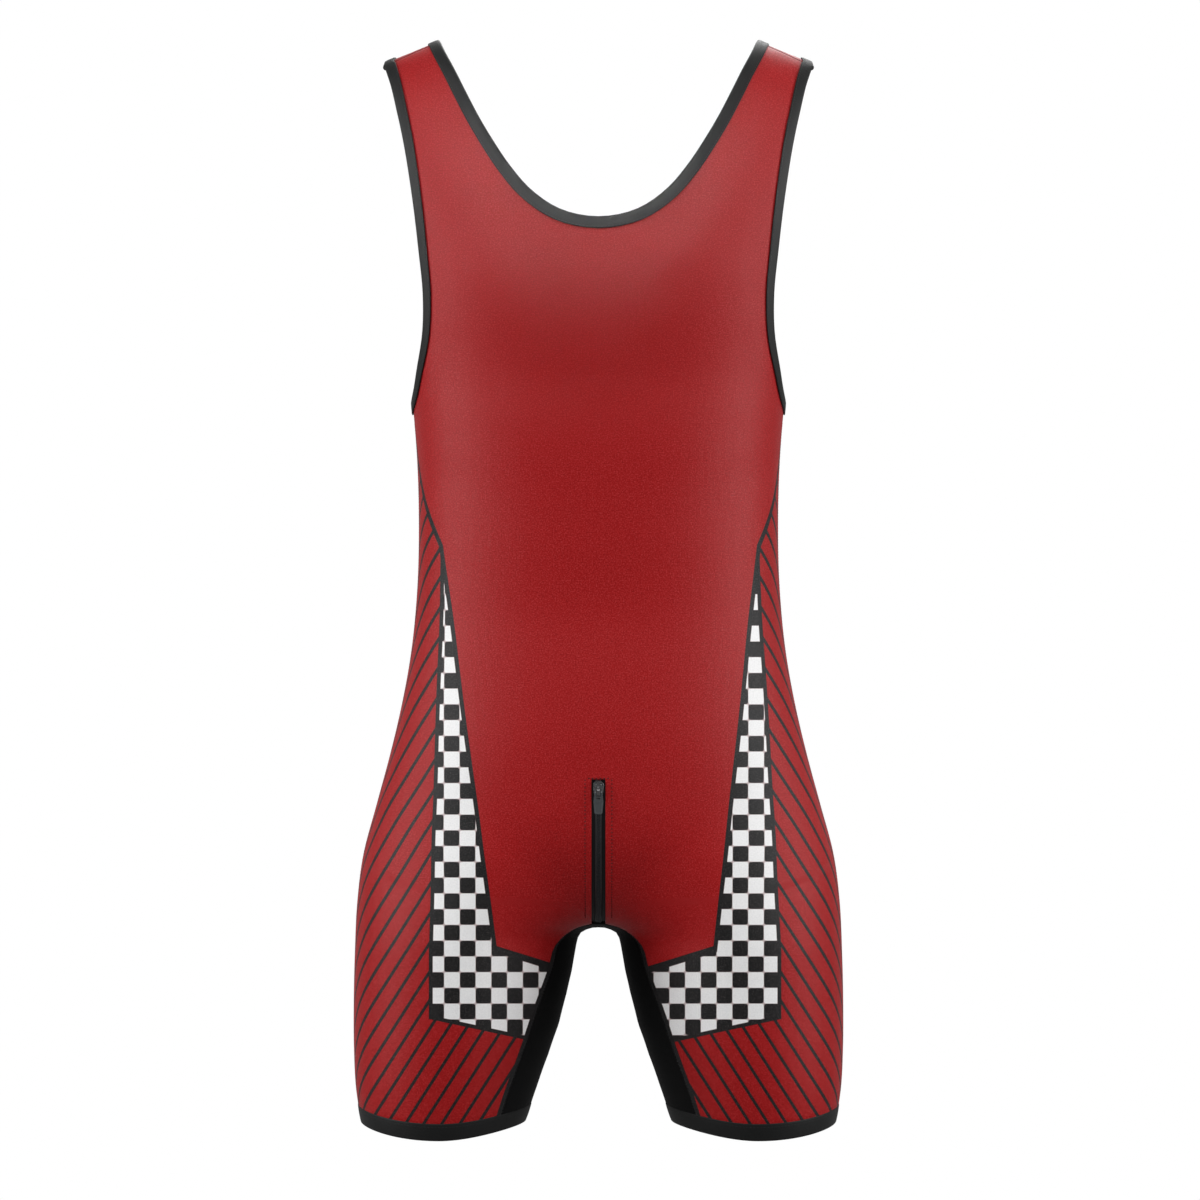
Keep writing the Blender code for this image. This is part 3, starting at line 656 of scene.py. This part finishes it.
def makeCloth(key):
    v = {**clothUsual, **clothValues[key]}
    made, tree, shader = newMaterial(v["name"], v)
    less, _, timesPlus = mathOn(tree)[1:]
    place = newNode(tree, "Attribute", attribute_name="print")["Vector"]
    sockets = {"Place": place, "Pitch": v["pitch"], "Speckle": v["speckle"]}
    knit = newNode(tree, "Group", sockets, node_tree=groups["knit"])
    grain = knit["Grain"]
    ground, *printColours = (clothColours[name] for name in v["colours"])
    if printColours:
        design = newNode(tree, "Group", {"Place": place}, node_tree=groups["print"])
        for part, colour in zip(("Dark", "Light"), printColours):
            ground = mixColours(tree, design[part], ground, colour)
        kept = timesPlus(design["Light"], -v["calmed"], 1.0)
        grain = timesPlus(less(grain, 1.0), kept, 1.0)
    coloured = scaledColour(tree, ground, grain)
    # Painted glints: the grain's peaks are mixed towards a pale pink as highlights on the knit
    if v["withPaintedGlints"]:
        coloured = mixColours(tree, knit["PaintedGlint"], coloured, clothColours["paintedGlint"])
    tree.links.new(coloured, shader.inputs["Base Color"])
    bumped(tree, shader, knit["Height"], v["bump"], v["deep"])
    return made


# How rough, how much of a metal, how far the colour varies, and how fine the grain is
hardColumns = ("name", "colour", "roughness", "metallic", "wear", "grain")
hardTable = {
    "blackThread": ("blackThread", (0.010, 0.010, 0.011), 0.6, 0.0, 0.6, 4000),
    "redThread": ("redThread", (0.16, 0.005, 0.007), 0.6, 0.0, 0.5, 4000),
    "flyThread": ("darkRedThread", (0.022, 0.0012, 0.0018), 0.8, 0.0, 0.4, 4000),
    "coil": ("nylonCoil", (0.018, 0.018, 0.020), 0.34, 0.0, 0.8, 1800),
    "metal": ("darkPlatedZinc", (0.24, 0.24, 0.245), 0.30, 1.0, 0.9, 900),
    "paint": ("matteSlatePaint", (0.040, 0.044, 0.047), 0.48, 0.0, 0.5, 1400),
}
hardUsual = {"specular": 0.5, "detail": 4.0, "roughVaries": 0.3, "bump": 0.15, "deep": 0.05 * mm}


def makeHard(key):
    v = {**hardUsual, **dict(zip(hardColumns, hardTable[key]))}
    made, tree, shader = newMaterial(v["name"], v)
    less, _, timesPlus = mathOn(tree)[1:]
    noise = newNoise(tree, newNode(tree, "TexCoord")["Object"], v["grain"], v["detail"])
    uneven = less(noise, 0.5)
    worn = scaledColour(tree, v["colour"], timesPlus(uneven, v["wear"], 1.0))
    tree.links.new(worn, shader.inputs["Base Color"])
    tree.links.new(timesPlus(uneven, v["roughVaries"], v["roughness"]), shader.inputs["Roughness"])
    bumped(tree, shader, noise, v["bump"], v["deep"])
    return made


finishes = {**{key: makeCloth(key) for key in clothValues}, **{key: makeHard(key) for key in hardTable}}
print("finishes ready")


# Panels
panelValues = {
    "frontCloth": {"face": front, "node": "front_panel", "flat": (0.40, 0.84), "area": 0.262},
    "backCloth": {"face": back, "node": "back_panel", "flat": (0.40, 0.84), "area": 0.266},
}
zipValues = {
    "slitHalf": 5.4 * mm, "tapeFrom": 3.2 * mm, "tapeReach": 12.5 * mm, "tapeWall": 0.8 * mm,
    "tapeClearance": 0.4 * mm, "tapeRows": 50, "tapeColumns": 7, "chainHalf": 1.9 * mm,
    "chainInset": 0.2 * mm, "toothPitch": 1.25 * mm,
}
panelGrids = {face: panelGrid(face, opened=face == front) for face in (front, back)}


def makePanel(name):
    values = panelValues[name]
    grid = panelGrids[values["face"]]
    marks = printPlaces(hemLifted(grid), values["face"])
    build = shapedGrid(hemLifted(creased(grid, values["face"])), normals(grid), marks, mirrored=True)
    made = piece(name, build, ["printed", "reverse"], replaced=[values["node"]])
    thicken(made, cut["wall"], "cloth", inside=1)


for name in panelValues:
    makePanel(name)
print("panels ready")


# The gusset along the inner thighs and through the crotch, and the bands at the hems
legValues = {
    "bandRows": 9, "bandSides": 120, "bandLap": 1.2 * mm, "bandLift": 0.3 * mm, "bandSwell": 0.3 * mm,
    "bandFlat": (0.0145, 0.47), "gussetFlat": (0.13, 0.46), "gussetArea": 0.0345,
}


def gussetGrid():
    seamRows = grids["last"] - grids["gusset"] + 1

    def seamLine(face):
        crotch = facePoint(0.0, cut["zipBottom"], face)
        line = np.concatenate(([crotch], panelGrids[face][grids["gusset"]:, 2]))
        full = np.concatenate((line[:0:-1] * (-1, 1, 1), line))
        moved = alongCloth(full, cut["seamGap"], face)[seamRows:]
        moved[0, 0] = 0
        moved[-1, 2] = cut["bandTop"]
        return moved

    frontLine, backLine = seamLine(front), seamLine(back)
    run = runOf(frontLine)
    down = np.linspace(0, 1, grids["innerLeg"]) ** 2
    heights = cut["crotch"] + (cut["bandTop"] - cut["crotch"]) * down
    line = stacked(halfGap(heights), 0, heights)
    length = runOf(line)
    inner = readAlong(line, length, run / run[-1] * length[-1])
    t = np.linspace(0, 1, grids["gussetAcross"] + 1)[None, :, None]
    grid = frontLine[:, None] * (1 - t) * (1 - 2 * t) + inner[:, None] * 4 * t * (1 - t)
    grid += backLine[:, None] * t * (2 * t - 1)
    settled = settle(grid[:, 1:-1])
    settled[0, :, 0] = 0
    grid[:, 1:-1] = settled
    grid[-1, 1:-1] = settle(grid[-1, 1:-1], level)
    grid[-1, :, 2] = cut["bandTop"]
    return grid


def stripMarks(grid):  # millimetres across and along a strip
    over, down = runOf(grid, 1), runOf(grid)
    return stacked(over, down, 0) / mm


def makeGusset():
    grid = gussetGrid()
    build = shapedGrid(hemLifted(grid), normals(grid), stripMarks(grid), mirrored=True)
    made = piece("innerLegCloth", build, ["gusset"], replaced=["inner_leg_gusset"])
    thicken(made, cut["wall"], "cloth")


def bandRing(z, count):
    angles = np.linspace(0, 2 * np.pi, count + 1)
    aside = (halfWidth(z) - legMiddle(z)) * np.cos(angles)
    return settle(stacked(legMiddle(z) + aside, depthAt(z, front) * np.sin(angles), z), level)


def makeBand(name, side, node):
    levels = np.linspace(cut["bandTop"] + legValues["bandLap"], cut["hem"], legValues["bandRows"])
    grid = np.stack([bandRing(z, legValues["bandSides"]) for z in levels])
    down = np.linspace(0, 1, len(levels))[:, None, None]
    swell = legValues["bandLift"] * (1 - down) + legValues["bandSwell"] * np.sin(np.pi * down)
    outs = normals(grid)
    grid = (grid + outs * swell) * (side, 1, 1)
    build = shapedGrid(hemLifted(grid), outs * (side, 1, 1), stripMarks(grid)[..., [1, 0, 2]], ring=True)
    made = piece(name, build, ["elastic"], replaced=[node])
    thicken(made, cut["wall"], "band")


makeGusset()
makeBand("legBandLeft", 1, "leg_band_left")
makeBand("legBandRight", -1, "leg_band_right")
print("legs ready")


# Elastic tape folded over an edge. A run holds the edge's points and those under the tape's border.
tapeValues = {
    "acrossOuter": (0.0, 0.1, 0.3, 0.55, 0.8, 1.0), "swell": 0.22 * mm, "foldSteps": 7,
    "neckFlat": (0.020, 1.10), "armFlat": (0.020, 0.72),
}


def ringOf(*runs):
    ring = np.concatenate([run[:-1] for run in runs])
    start = 0
    for before, after in zip((runs[-1], *runs[:-1]), runs):
        ring[start] = (before[-1] + after[0]) / 2
        start += len(after) - 1
    return np.concatenate((ring, ring[:1]))


def edgeRun(face, edgeColumn, borderColumn, rows, side=1):
    grid = panelGrids[face][:rows + 1]
    return np.stack([grid[:, edgeColumn], grid[:, borderColumn]], axis=1) * (side, 1, 1)


def tapeGrid(ring):
    edge, border = ring[:, 0], ring[:, 1]
    edgeOut, borderOut = normals(edge), normals(border)
    away = edge - border
    away = unit(away - (away * edgeOut).sum(axis=1, keepdims=True) * edgeOut)
    far = cut["seamGap"] + cut["bindingWall"]
    columns, outs = [], []
    for side in (1, -1):
        inward = 0 if side > 0 else cut["wall"]
        flat = []
        for share in tapeValues["acrossOuter"]:
            out = unit(borderOut + (edgeOut - borderOut) * share)
            lift = far + tapeValues["swell"] * math.sin(math.pi * share) if side > 0 else far
            flat.append(border + (edge - border) * share + out * (side * lift - inward))
            outs.append(out * side)
        columns += flat if side > 0 else flat[::-1]
        if side > 0:
            middle = edge - edgeOut * cut["wall"] / 2
            for turn in np.linspace(0, np.pi, tapeValues["foldSteps"] + 2)[1:-1]:
                arm = edgeOut * math.cos(turn) * (far + cut["wall"] / 2) + away * math.sin(turn) * far
                columns.append(middle + arm)
                outs.append(unit(arm))
    return np.stack(columns, axis=1), np.stack(outs, axis=1)


armEdge, armBorder = grids["across"] + 3, grids["across"] + 2
neckRing = ringOf(
    edgeRun(front, 0, 1, grids["neck"]),
    edgeRun(front, 0, 1, grids["neck"], -1)[::-1],
    edgeRun(back, 0, 1, grids["neck"], -1),
    edgeRun(back, 0, 1, grids["neck"])[::-1],
)
armRing = ringOf(
    edgeRun(front, armEdge, armBorder, grids["armhole"]),
    edgeRun(back, armEdge, armBorder, grids["armhole"])[::-1],
)


def makeTape(name, ring, node):
    grid, outs = tapeGrid(ring)
    build = shapedGrid(grid, outs, stripMarks(grid), ring=True)
    made = piece(name, build, ["elastic"], replaced=[node])
    thicken(made, cut["bindingWall"], "binding")


makeTape("neckTape", neckRing, "neck_binding")
makeTape("armholeTapeLeft", armRing, "armhole_binding_left")
makeTape("armholeTapeRight", armRing * (-1, 1, 1), "armhole_binding_right")
print("bound edges ready")

# Stitches: small threads laid end to end or in a zigzag along a line on the cloth
stitchValues = {
    "tape": {"pitch": 2.8 * mm, "long": 2.1 * mm, "wide": 0.42 * mm, "inset": 1.3 * mm},
    "flatlock": {"pitch": 2.4 * mm, "wide": 0.40 * mm, "zigzag": 3.0 * mm, "overlap": 0.6},
    "shoulder": {"pitch": 1.3 * mm, "long": 1.5 * mm, "wide": 0.9 * mm},
    "side": {"pitch": 2.4 * mm, "wide": 0.36 * mm, "zigzag": 2.4 * mm, "overlap": 0.6},
    "seam": {"pitch": 2.6 * mm, "long": 3.2 * mm, "wide": 0.8 * mm, "sunk": 0.45 * mm},
    "hem": {
        "pitch": 2.8 * mm, "long": 2.1 * mm, "wide": 0.42 * mm, "rows": (1.6 * mm, 4.4 * mm),
        "lift": 0.3 * mm, "sides": 160,
    },
    "fly": {
        "pitch": 2.9 * mm, "long": 1.5 * mm, "wide": 0.95 * mm, "aside": 10.4 * mm, "above": 0.8 * mm,
        "shortOf": 6 * mm, "down": 60, "over": 20,
    },
}
beadValues = {"u_segments": 6, "v_segments": 4, "radius": 1}


def beadShape():
    build = bmesh.new()
    bmesh.ops.create_uvsphere(build, **beadValues)
    points = np.array([vertex.co for vertex in build.verts])
    faces = [[vertex.index for vertex in face.verts] for face in build.faces]
    build.free()
    return points, faces


beadPoints, beadFaces = beadShape()


def beads(middles, ways, outs, long, wide, high):  # one bead for each row, joined into one mesh
    ways, outs = unit(ways), unit(outs)
    sides = unit(np.cross(outs, ways))
    outs = np.cross(ways, sides)
    sizes = [np.broadcast_to(size, len(middles))[:, None] / 2 for size in (wide, high, long)]
    axes = np.stack([sides * sizes[0], outs * sizes[1], ways * sizes[2]], axis=1)
    points = middles[:, None] + beadPoints @ axes
    count = len(beadPoints)
    faces = [[k * count + corner for corner in face] for k in range(len(middles)) for face in beadFaces]
    return points.reshape(-1, 3), faces


def joinedBeads(parts):
    mesh = bpy.data.meshes.new("beads")
    points, faces = [], []
    for somePoints, someFaces in parts:
        start = len(points)
        points += list(somePoints)
        faces += [[start + corner for corner in face] for face in someFaces]
    mesh.from_pydata(points, [], faces)
    build = bmesh.new()
    build.from_mesh(mesh)
    bpy.data.meshes.remove(mesh)
    return build


def joinInto(build, other):
    mesh = meshOf("part", other)
    build.from_mesh(mesh)
    bpy.data.meshes.remove(mesh)


def stitchLine(points, outs, values):
    pitch, zigzag, wide = values["pitch"], values.get("zigzag", 0), values["wide"]
    run = runOf(points)
    places = np.linspace(0, run[-1], max(int(run[-1] / pitch), 1) * 2 + 1)
    line, out = readAlong(points, run, places), unit(readAlong(outs, run, places))
    if not zigzag:
        return beads(line[1:-1:2], line[2::2] - line[:-2:2], out[1:-1:2], values["long"], wide, wide)
    side = unit(np.cross(out, np.gradient(line, axis=0)))
    line = line + side * (zigzag / 2 * np.where(np.arange(len(line)) % 2, 1, -1))[:, None]
    ways = np.diff(line, axis=0)
    long = np.linalg.norm(ways, axis=1) + wide * values["overlap"]
    return beads((line[:-1] + line[1:]) / 2, ways, out[:-1], long, wide, wide)


def makeStitches(name, kind, look, lines, sides=(1, -1)):
    parts = [stitchLine(hemLifted(points) * (side, 1, 1), outs * (side, 1, 1), stitchValues[kind])
             for points, outs in lines for side in sides]
    piece(name, joinedBeads(parts), [look])


def raised(line, lift=0):  # a line off the cloth's face, or down in it, with the way out
    out = normals(line)
    return line + out * lift, out


def tapeStitches(ring):  # a row on each face of the folded tape
    share = stitchValues["tape"]["inset"] / cut["bindingWidth"]
    base = ring[:, 1] + (ring[:, 0] - ring[:, 1]) * share
    far = cut["seamGap"] + cut["bindingWall"]
    inner, out = raised(base, -cut["wall"] - far)
    return [raised(base, far + tapeValues["swell"] * math.sin(math.pi * share)), (inner, -out)]


def flyLines():
    values = stitchValues["fly"]
    top = cut["zipTop"] + values["above"]
    heights = np.linspace(top, cut["zipBottom"] + values["shortOf"], values["down"])
    widths = np.linspace(0, values["aside"] - values["pitch"] / 2, values["over"])
    return [raised(facePoint(values["aside"], heights, front)), raised(facePoint(widths, top, front))]


seamRows = slice(grids["gusset"] + 1, grids["last"] + 1)
gussetLines = [panelGrids[face][seamRows, 2] for face in (front, back)]
shoulderLine = panelGrids[front][0, 1:grids["across"] + 3] * (1, 0, 1) - (0, cut["shoulderSeam"], 0)
sideLine = panelGrids[front][grids["armhole"] + 1:, grids["across"] + 2] * (1, 0, 1)
hem = stitchValues["hem"]
hemLines = [raised(bandRing(cut["bandTop"] - below, hem["sides"]), hem["lift"]) for below in hem["rows"]]
# A thread down between the two cloths of a seam
sunk = -stitchValues["seam"]["sunk"]
sunkGussetLines = [raised(line, sunk) for line in gussetLines]

makeStitches("neckStitches", "tape", "blackThread", tapeStitches(neckRing), sides=(1,))
makeStitches("armholeStitches", "tape", "blackThread", tapeStitches(armRing))
makeStitches("gussetStitches", "flatlock", "blackThread", [raised(line) for line in gussetLines])
makeStitches("shoulderSeams", "shoulder", "redThread", [raised(shoulderLine)])
makeStitches("sideStitches", "side", "redThread", [raised(sideLine)])
makeStitches("sideSeams", "seam", "redThread", [raised(sideLine, sunk)])
makeStitches("gussetSeams", "seam", "blackThread", sunkGussetLines)
makeStitches("hemStitches", "hem", "blackThread", hemLines)
makeStitches("flyStitches", "fly", "flyThread", flyLines())
print("stitches ready")


# The fly zip
def zipHeights(count):
    return np.linspace(cut["zipTop"], cut["zipBottom"], count)


def zipStrip(widths, heights):
    return np.stack([facePoint(x, heights, front) for x in widths], axis=1)


def makeZipTape(name, side, node):
    widths = np.linspace(zipValues["tapeFrom"], zipValues["tapeReach"], zipValues["tapeColumns"])
    widths = np.append(zipValues["chainHalf"] + cut["seamGap"], widths)
    grid = zipStrip(widths, zipHeights(zipValues["tapeRows"]))
    outs = normals(grid)
    grid = (grid - outs * (cut["wall"] + zipValues["tapeClearance"])) * (side, 1, 1)
    build = shapedGrid(grid, outs * (side, 1, 1), stripMarks(grid))
    made = piece(name, build, ["tape"], replaced=[node])
    thicken(made, zipValues["tapeWall"], "zipTape")


makeZipTape("zipTapeLeft", 1, "zip_tape_left")
makeZipTape("zipTapeRight", -1, "zip_tape_right")

coilValues = {
    "rows": 60, "columns": 5, "startShort": 1.0 * mm, "endShort": 0.5 * mm, "toothLong": 2.3 * mm,
    "toothWide": 0.85 * mm, "toothHigh": 1.2 * mm, "toothSide": 0.72 * mm, "slant": 0.16, "deep": 0.85 * mm,
    "cordSide": 1.55 * mm, "cordWide": 0.62 * mm, "cordDeep": 0.6 * mm, "cordOverlap": 1.25,
    "coreDeep": 1.05 * mm, "coreWall": 0.8 * mm, "coreHalf": 2.7 * mm,
}


def facedOut(build):
    bmesh.ops.recalc_face_normals(build, faces=build.faces)


def makeCoil():
    v = coilValues
    pitch = zipValues["toothPitch"]
    heights = zipHeights(v["rows"])
    heights[0] -= v["startShort"]
    heights[-1] += v["endShort"]
    core = zipStrip(np.linspace(-v["coreHalf"], v["coreHalf"], v["columns"]), heights)
    outs = normals(core)
    build = shapedGrid(core - outs * v["coreDeep"], outs, stripMarks(core))
    bmesh.ops.solidify(build, geom=build.faces[:], thickness=v["coreWall"])
    facedOut(build)
    middle = facePoint(0, heights, front)
    run = runOf(middle)
    parts = []
    for side in (1, -1):
        at = (np.arange(int(run[-1] / pitch)) + (1 + side) / 4) * pitch
        place, out = (readAlong(line, run, at) for line in (middle, normals(middle)))
        across = np.array((side, 0.0, 0.0))
        down = unit(np.cross((1, 0, 0), out))
        parts.append(beads(place + across * v["toothSide"] - out * v["deep"], across + down * v["slant"], out,
                           v["toothLong"], v["toothWide"], v["toothHigh"]))
        parts.append(beads(place + across * v["cordSide"] - out * v["cordDeep"], down, out,
                           pitch * v["cordOverlap"], v["cordWide"], v["cordWide"]))
    joinInto(build, joinedBeads(parts))
    piece("zipCoil", build, ["coil"], replaced=["zip_chain"])


makeCoil()

# Outline and studs in shares of the slider's width and length, across and down. A bevel has a width
# and steps, and a panel an inset, a border and a depth.
sliderValues = {
    "size": (8.0 * mm, 13.0 * mm, 2.6 * mm), "drop": 1.5 * mm, "axleAt": 9.0 * mm, "frameSteps": 6,
    "outline": ((-0.5, 0.14), (-0.36, 0), (0.36, 0), (0.5, 0.14), (0.5, 0.5), (0.36, 1), (-0.36, 1),
                (-0.5, 0.5)),
    "corner": (1.1 * mm, 3), "edge": (0.45 * mm, 3), "panel": (0.9 * mm, 0.25 * mm, 0.35 * mm),
    "bridgeHalf": 1.1 * mm, "bridgeRoom": 2.0 * mm, "bridgeWall": 0.8 * mm, "bridgeFrom": 5.5 * mm,
    "bridgeTo": 11.2 * mm, "bridgeEdge": (0.18 * mm, 2), "foot": 1.0 * mm, "footSunk": 0.5 * mm,
    "studs": ((-0.26, 0.19), (0.26, 0.19), (0.0, 0.33)), "studSunk": 0.25 * mm,
    "stud": {"u_segments": 14, "v_segments": 8, "radius": 0.55 * mm},
}


def sliderFrame():
    top, below = facePoint(0, zipHeights(sliderValues["frameSteps"])[:2], front)
    top, below = (p - normals(p) * zipValues["chainInset"] for p in (top, below))
    down = Vector(below - top).normalized()
    out = down.cross(Vector((1, 0, 0)))
    start = Vector(top) + down * sliderValues["drop"] + out * cut["seamGap"]
    return Matrix((
        (1, down.x, out.x, start.x),
        (0, down.y, out.y, start.y),
        (0, down.z, out.z, start.z),
        (0, 0, 0, 1),
    ))


def bevelEdges(build, edges, offset, segments):
    bmesh.ops.bevel(build, geom=edges, offset=offset, offset_type="OFFSET", affect="EDGES", segments=segments,
                    profile=0.5, material=-1, clamp_overlap=True)


def flatFace(build, points):
    return build.faces.new([build.verts.new(point) for point in points])


def drawnOut(build, faces, push):  # flat faces pushed through into a closed body
    made = bmesh.ops.extrude_face_region(build, geom=faces)["geom"]
    bmesh.ops.translate(build, vec=push, verts=only(bmesh.types.BMVert, made))
    facedOut(build)


def uprights(build, least):
    return [edge for edge in build.edges if abs(edge.verts[0].co.z - edge.verts[1].co.z) > least]


def panelled(build, face, inset, border, deep):  # a flat sunk inside a border
    bmesh.ops.inset_region(build, faces=[face], thickness=inset, use_even_offset=True)
    bmesh.ops.inset_region(build, faces=[face], thickness=border, depth=-deep, use_even_offset=True)


def makeSlider():
    v = sliderValues
    wide, long, deep = v["size"]
    build = bmesh.new()
    drawnOut(build, [flatFace(build, [(x * wide, t * long, 0) for x, t in v["outline"]])], (0, 0, deep))
    bevelEdges(build, uprights(build, deep / 2), *v["corner"])
    top = max(build.faces, key=lambda face: face.calc_center_median().z)
    bevelEdges(build, list(top.edges), *v["edge"])
    top = max(build.faces, key=lambda face: (round(face.calc_center_median().z, 6), face.calc_area()))
    panelled(build, top, *v["panel"])
    under, over = deep + v["bridgeRoom"], deep + v["bridgeRoom"] + v["bridgeWall"]
    sunk, foot, a, b = deep - v["footSunk"], v["foot"], v["bridgeFrom"], v["bridgeTo"]
    loop = [(a, sunk), (a, over - foot), (a + foot, over), (b - foot, over), (b, over - foot), (b, sunk),
            (b - foot, sunk), (b - foot, under), (a + foot, under), (a + foot, sunk)]
    bridge = bmesh.new()
    half = v["bridgeHalf"]
    drawnOut(bridge, [flatFace(bridge, [(-half, t, n) for t, n in loop])], (2 * half, 0, 0))
    bevelEdges(bridge, bridge.edges[:], *v["bridgeEdge"])
    for x, t in v["studs"]:
        at = Matrix.Translation((x * wide, t * long, deep - v["studSunk"]))
        bmesh.ops.create_uvsphere(bridge, matrix=at, **v["stud"])
    joinInto(build, bridge)
    build.transform(sliderFrame())
    facedOut(build)
    piece("zipSliderBody", build, ["metal"], replaced=["zip_slider"], smoothed=False)


# Halves of the tab's eye, rim and tip, across and down from the axle in millimetres
pullValues = {
    "eye": ((1.6, 0.5), (1.6, 4.6)), "rim": ((3.0, -0.5), (3.9, 6.5)), "tip": ((-3.2, 15.2), (-2.2, 16.2)),
    "wall": 1.0 * mm, "corner": (0.5 * mm, 3), "edge": (0.2 * mm, 2), "sharp": 60, "flat": 0.99,
    "panel": (0.7 * mm, 0.2 * mm, 0.15 * mm),
}


def makePull():
    v = pullValues
    build = bmesh.new()
    half = v["wall"] / 2
    eye, rim, tip = ([build.verts.new((x * mm, t * mm, -half)) for x, t in
                      [(-x, t) for x, t in side] + list(side[::-1])]
                     for side in (v["eye"], v["rim"], v["tip"]))
    faces = [build.faces.new((eye[k], rim[k], rim[(k + 1) % 4], eye[(k + 1) % 4])) for k in range(4)]
    drawnOut(build, faces + [build.faces.new((rim[1], rim[2], *tip))], (0, 0, v["wall"]))
    bevelEdges(build, uprights(build, half), *v["corner"])
    rims = [edge for edge in build.edges if edge.calc_face_angle(0) > math.radians(v["sharp"])]
    bevelEdges(build, rims, *v["edge"])
    blade = v["rim"][1][1] * mm
    for way in (1, -1):
        flats = [face for face in build.faces
                 if face.normal.z * way > v["flat"] and face.calc_center_median().y > blade]
        panelled(build, max(flats, key=lambda face: face.calc_area()), *v["panel"])
    axleHeight = sliderValues["size"][2] + sliderValues["bridgeRoom"] / 2
    build.transform(sliderFrame() @ Matrix.Translation((0, sliderValues["axleAt"], axleHeight)))
    facedOut(build)
    piece("zipPullTab", build, ["paint"], body="pull", replaced=["zip_pull"],
          smoothed=False)


makeSlider()
makePull()
print("zip ready")


# Stage: pale floor far below the held garment, soft studio light and the camera
stageValues = {
    "floor": -1.45, "floorRadius": 2.4, "floorSides": 96, "floorColour": (0.88, 0.88, 0.88), "white": 1.0,
    "ambient": 0.19,
}
lightColumns = ("at", "aim", "size", "power", "spread", "diffuse", "glossy")
lights = {
    "key": ((-0.2, -1.4, 1.9), (0, 0, -0.2), 1.1, 22, 170, True, True),
    "chest": ((-0.15, -1.7, 0.55), (0, 0, -0.02), 0.35, 0.8, 11, False, True),
    "fill": ((0, -2.2, -0.8), (0, 0, -0.6), 1.4, 13.5, 170, True, False),
    "sideRight": ((-2.4, -0.5, 0.2), (0, 0, -0.45), 1.4, 22, 120, True, True),
    "sideLeft": ((2.4, -0.5, 0.2), (0, 0, -0.45), 1.4, 22, 120, True, True),
    "behind": ((0.4, 2.0, 1.6), (0, 0, -0.3), 1.6, 38, 170, True, True),
}


def makeWorld():
    world = bpy.data.worlds.new("studio")
    bpy.context.scene.world = world
    world.use_nodes = True
    tree = world.node_tree
    ground = tree.nodes["Background"]
    seen = newNode(tree, "LightPath")["Is Camera Ray"]
    ambient = stageValues["ambient"]
    strength = mathOn(tree)[0]("MULTIPLY_ADD", seen, stageValues["white"] - ambient, ambient)
    tree.links.new(strength, ground.inputs["Strength"])
    ground.inputs["Color"].default_value = (1, 1, 1, 1)


def makeFloor():
    build = bmesh.new()
    bmesh.ops.create_circle(build, cap_ends=True, segments=stageValues["floorSides"],
                            radius=stageValues["floorRadius"],
                            matrix=Matrix.Translation((0, 0, stageValues["floor"])))
    floor = placed("floor", meshOf("floor", build))
    made, _, shader = newMaterial("paleFloor", {"roughness": 0.9, "specular": 0.5})
    shader.inputs["Base Color"].default_value = (*stageValues["floorColour"], 1)
    floor.data.materials.append(made)
    floor.visible_diffuse = floor.visible_glossy = False


def makeLight(name, values):
    data = bpy.data.lights.new(name, "AREA")
    data.size = values["size"]
    data.energy = values["power"]
    data.spread = math.radians(values["spread"])
    made = placed(name, data)
    made.location = values["at"]
    made.rotation_euler = (Vector(values["aim"]) - Vector(values["at"])).to_track_quat("-Z", "Y").to_euler()
    made.visible_camera = False
    made.visible_glossy = values["glossy"]
    made.visible_diffuse = values["diffuse"]


def makeCamera():
    data = bpy.data.cameras.new("camera")
    data.lens = view["lens"]
    data.sensor_width = view["sensor"]
    made = placed("camera", data)
    made.location = (view["aside"], -view["distance"], view["height"])
    made.rotation_euler = (math.pi / 2, 0, 0)
    bpy.context.scene.camera = made


makeWorld()
makeFloor()
for name, row in lights.items():
    makeLight(name, dict(zip(lightColumns, row)))
makeCamera()
bpy.context.scene.view_settings.view_transform = "Standard"
print("stage ready")
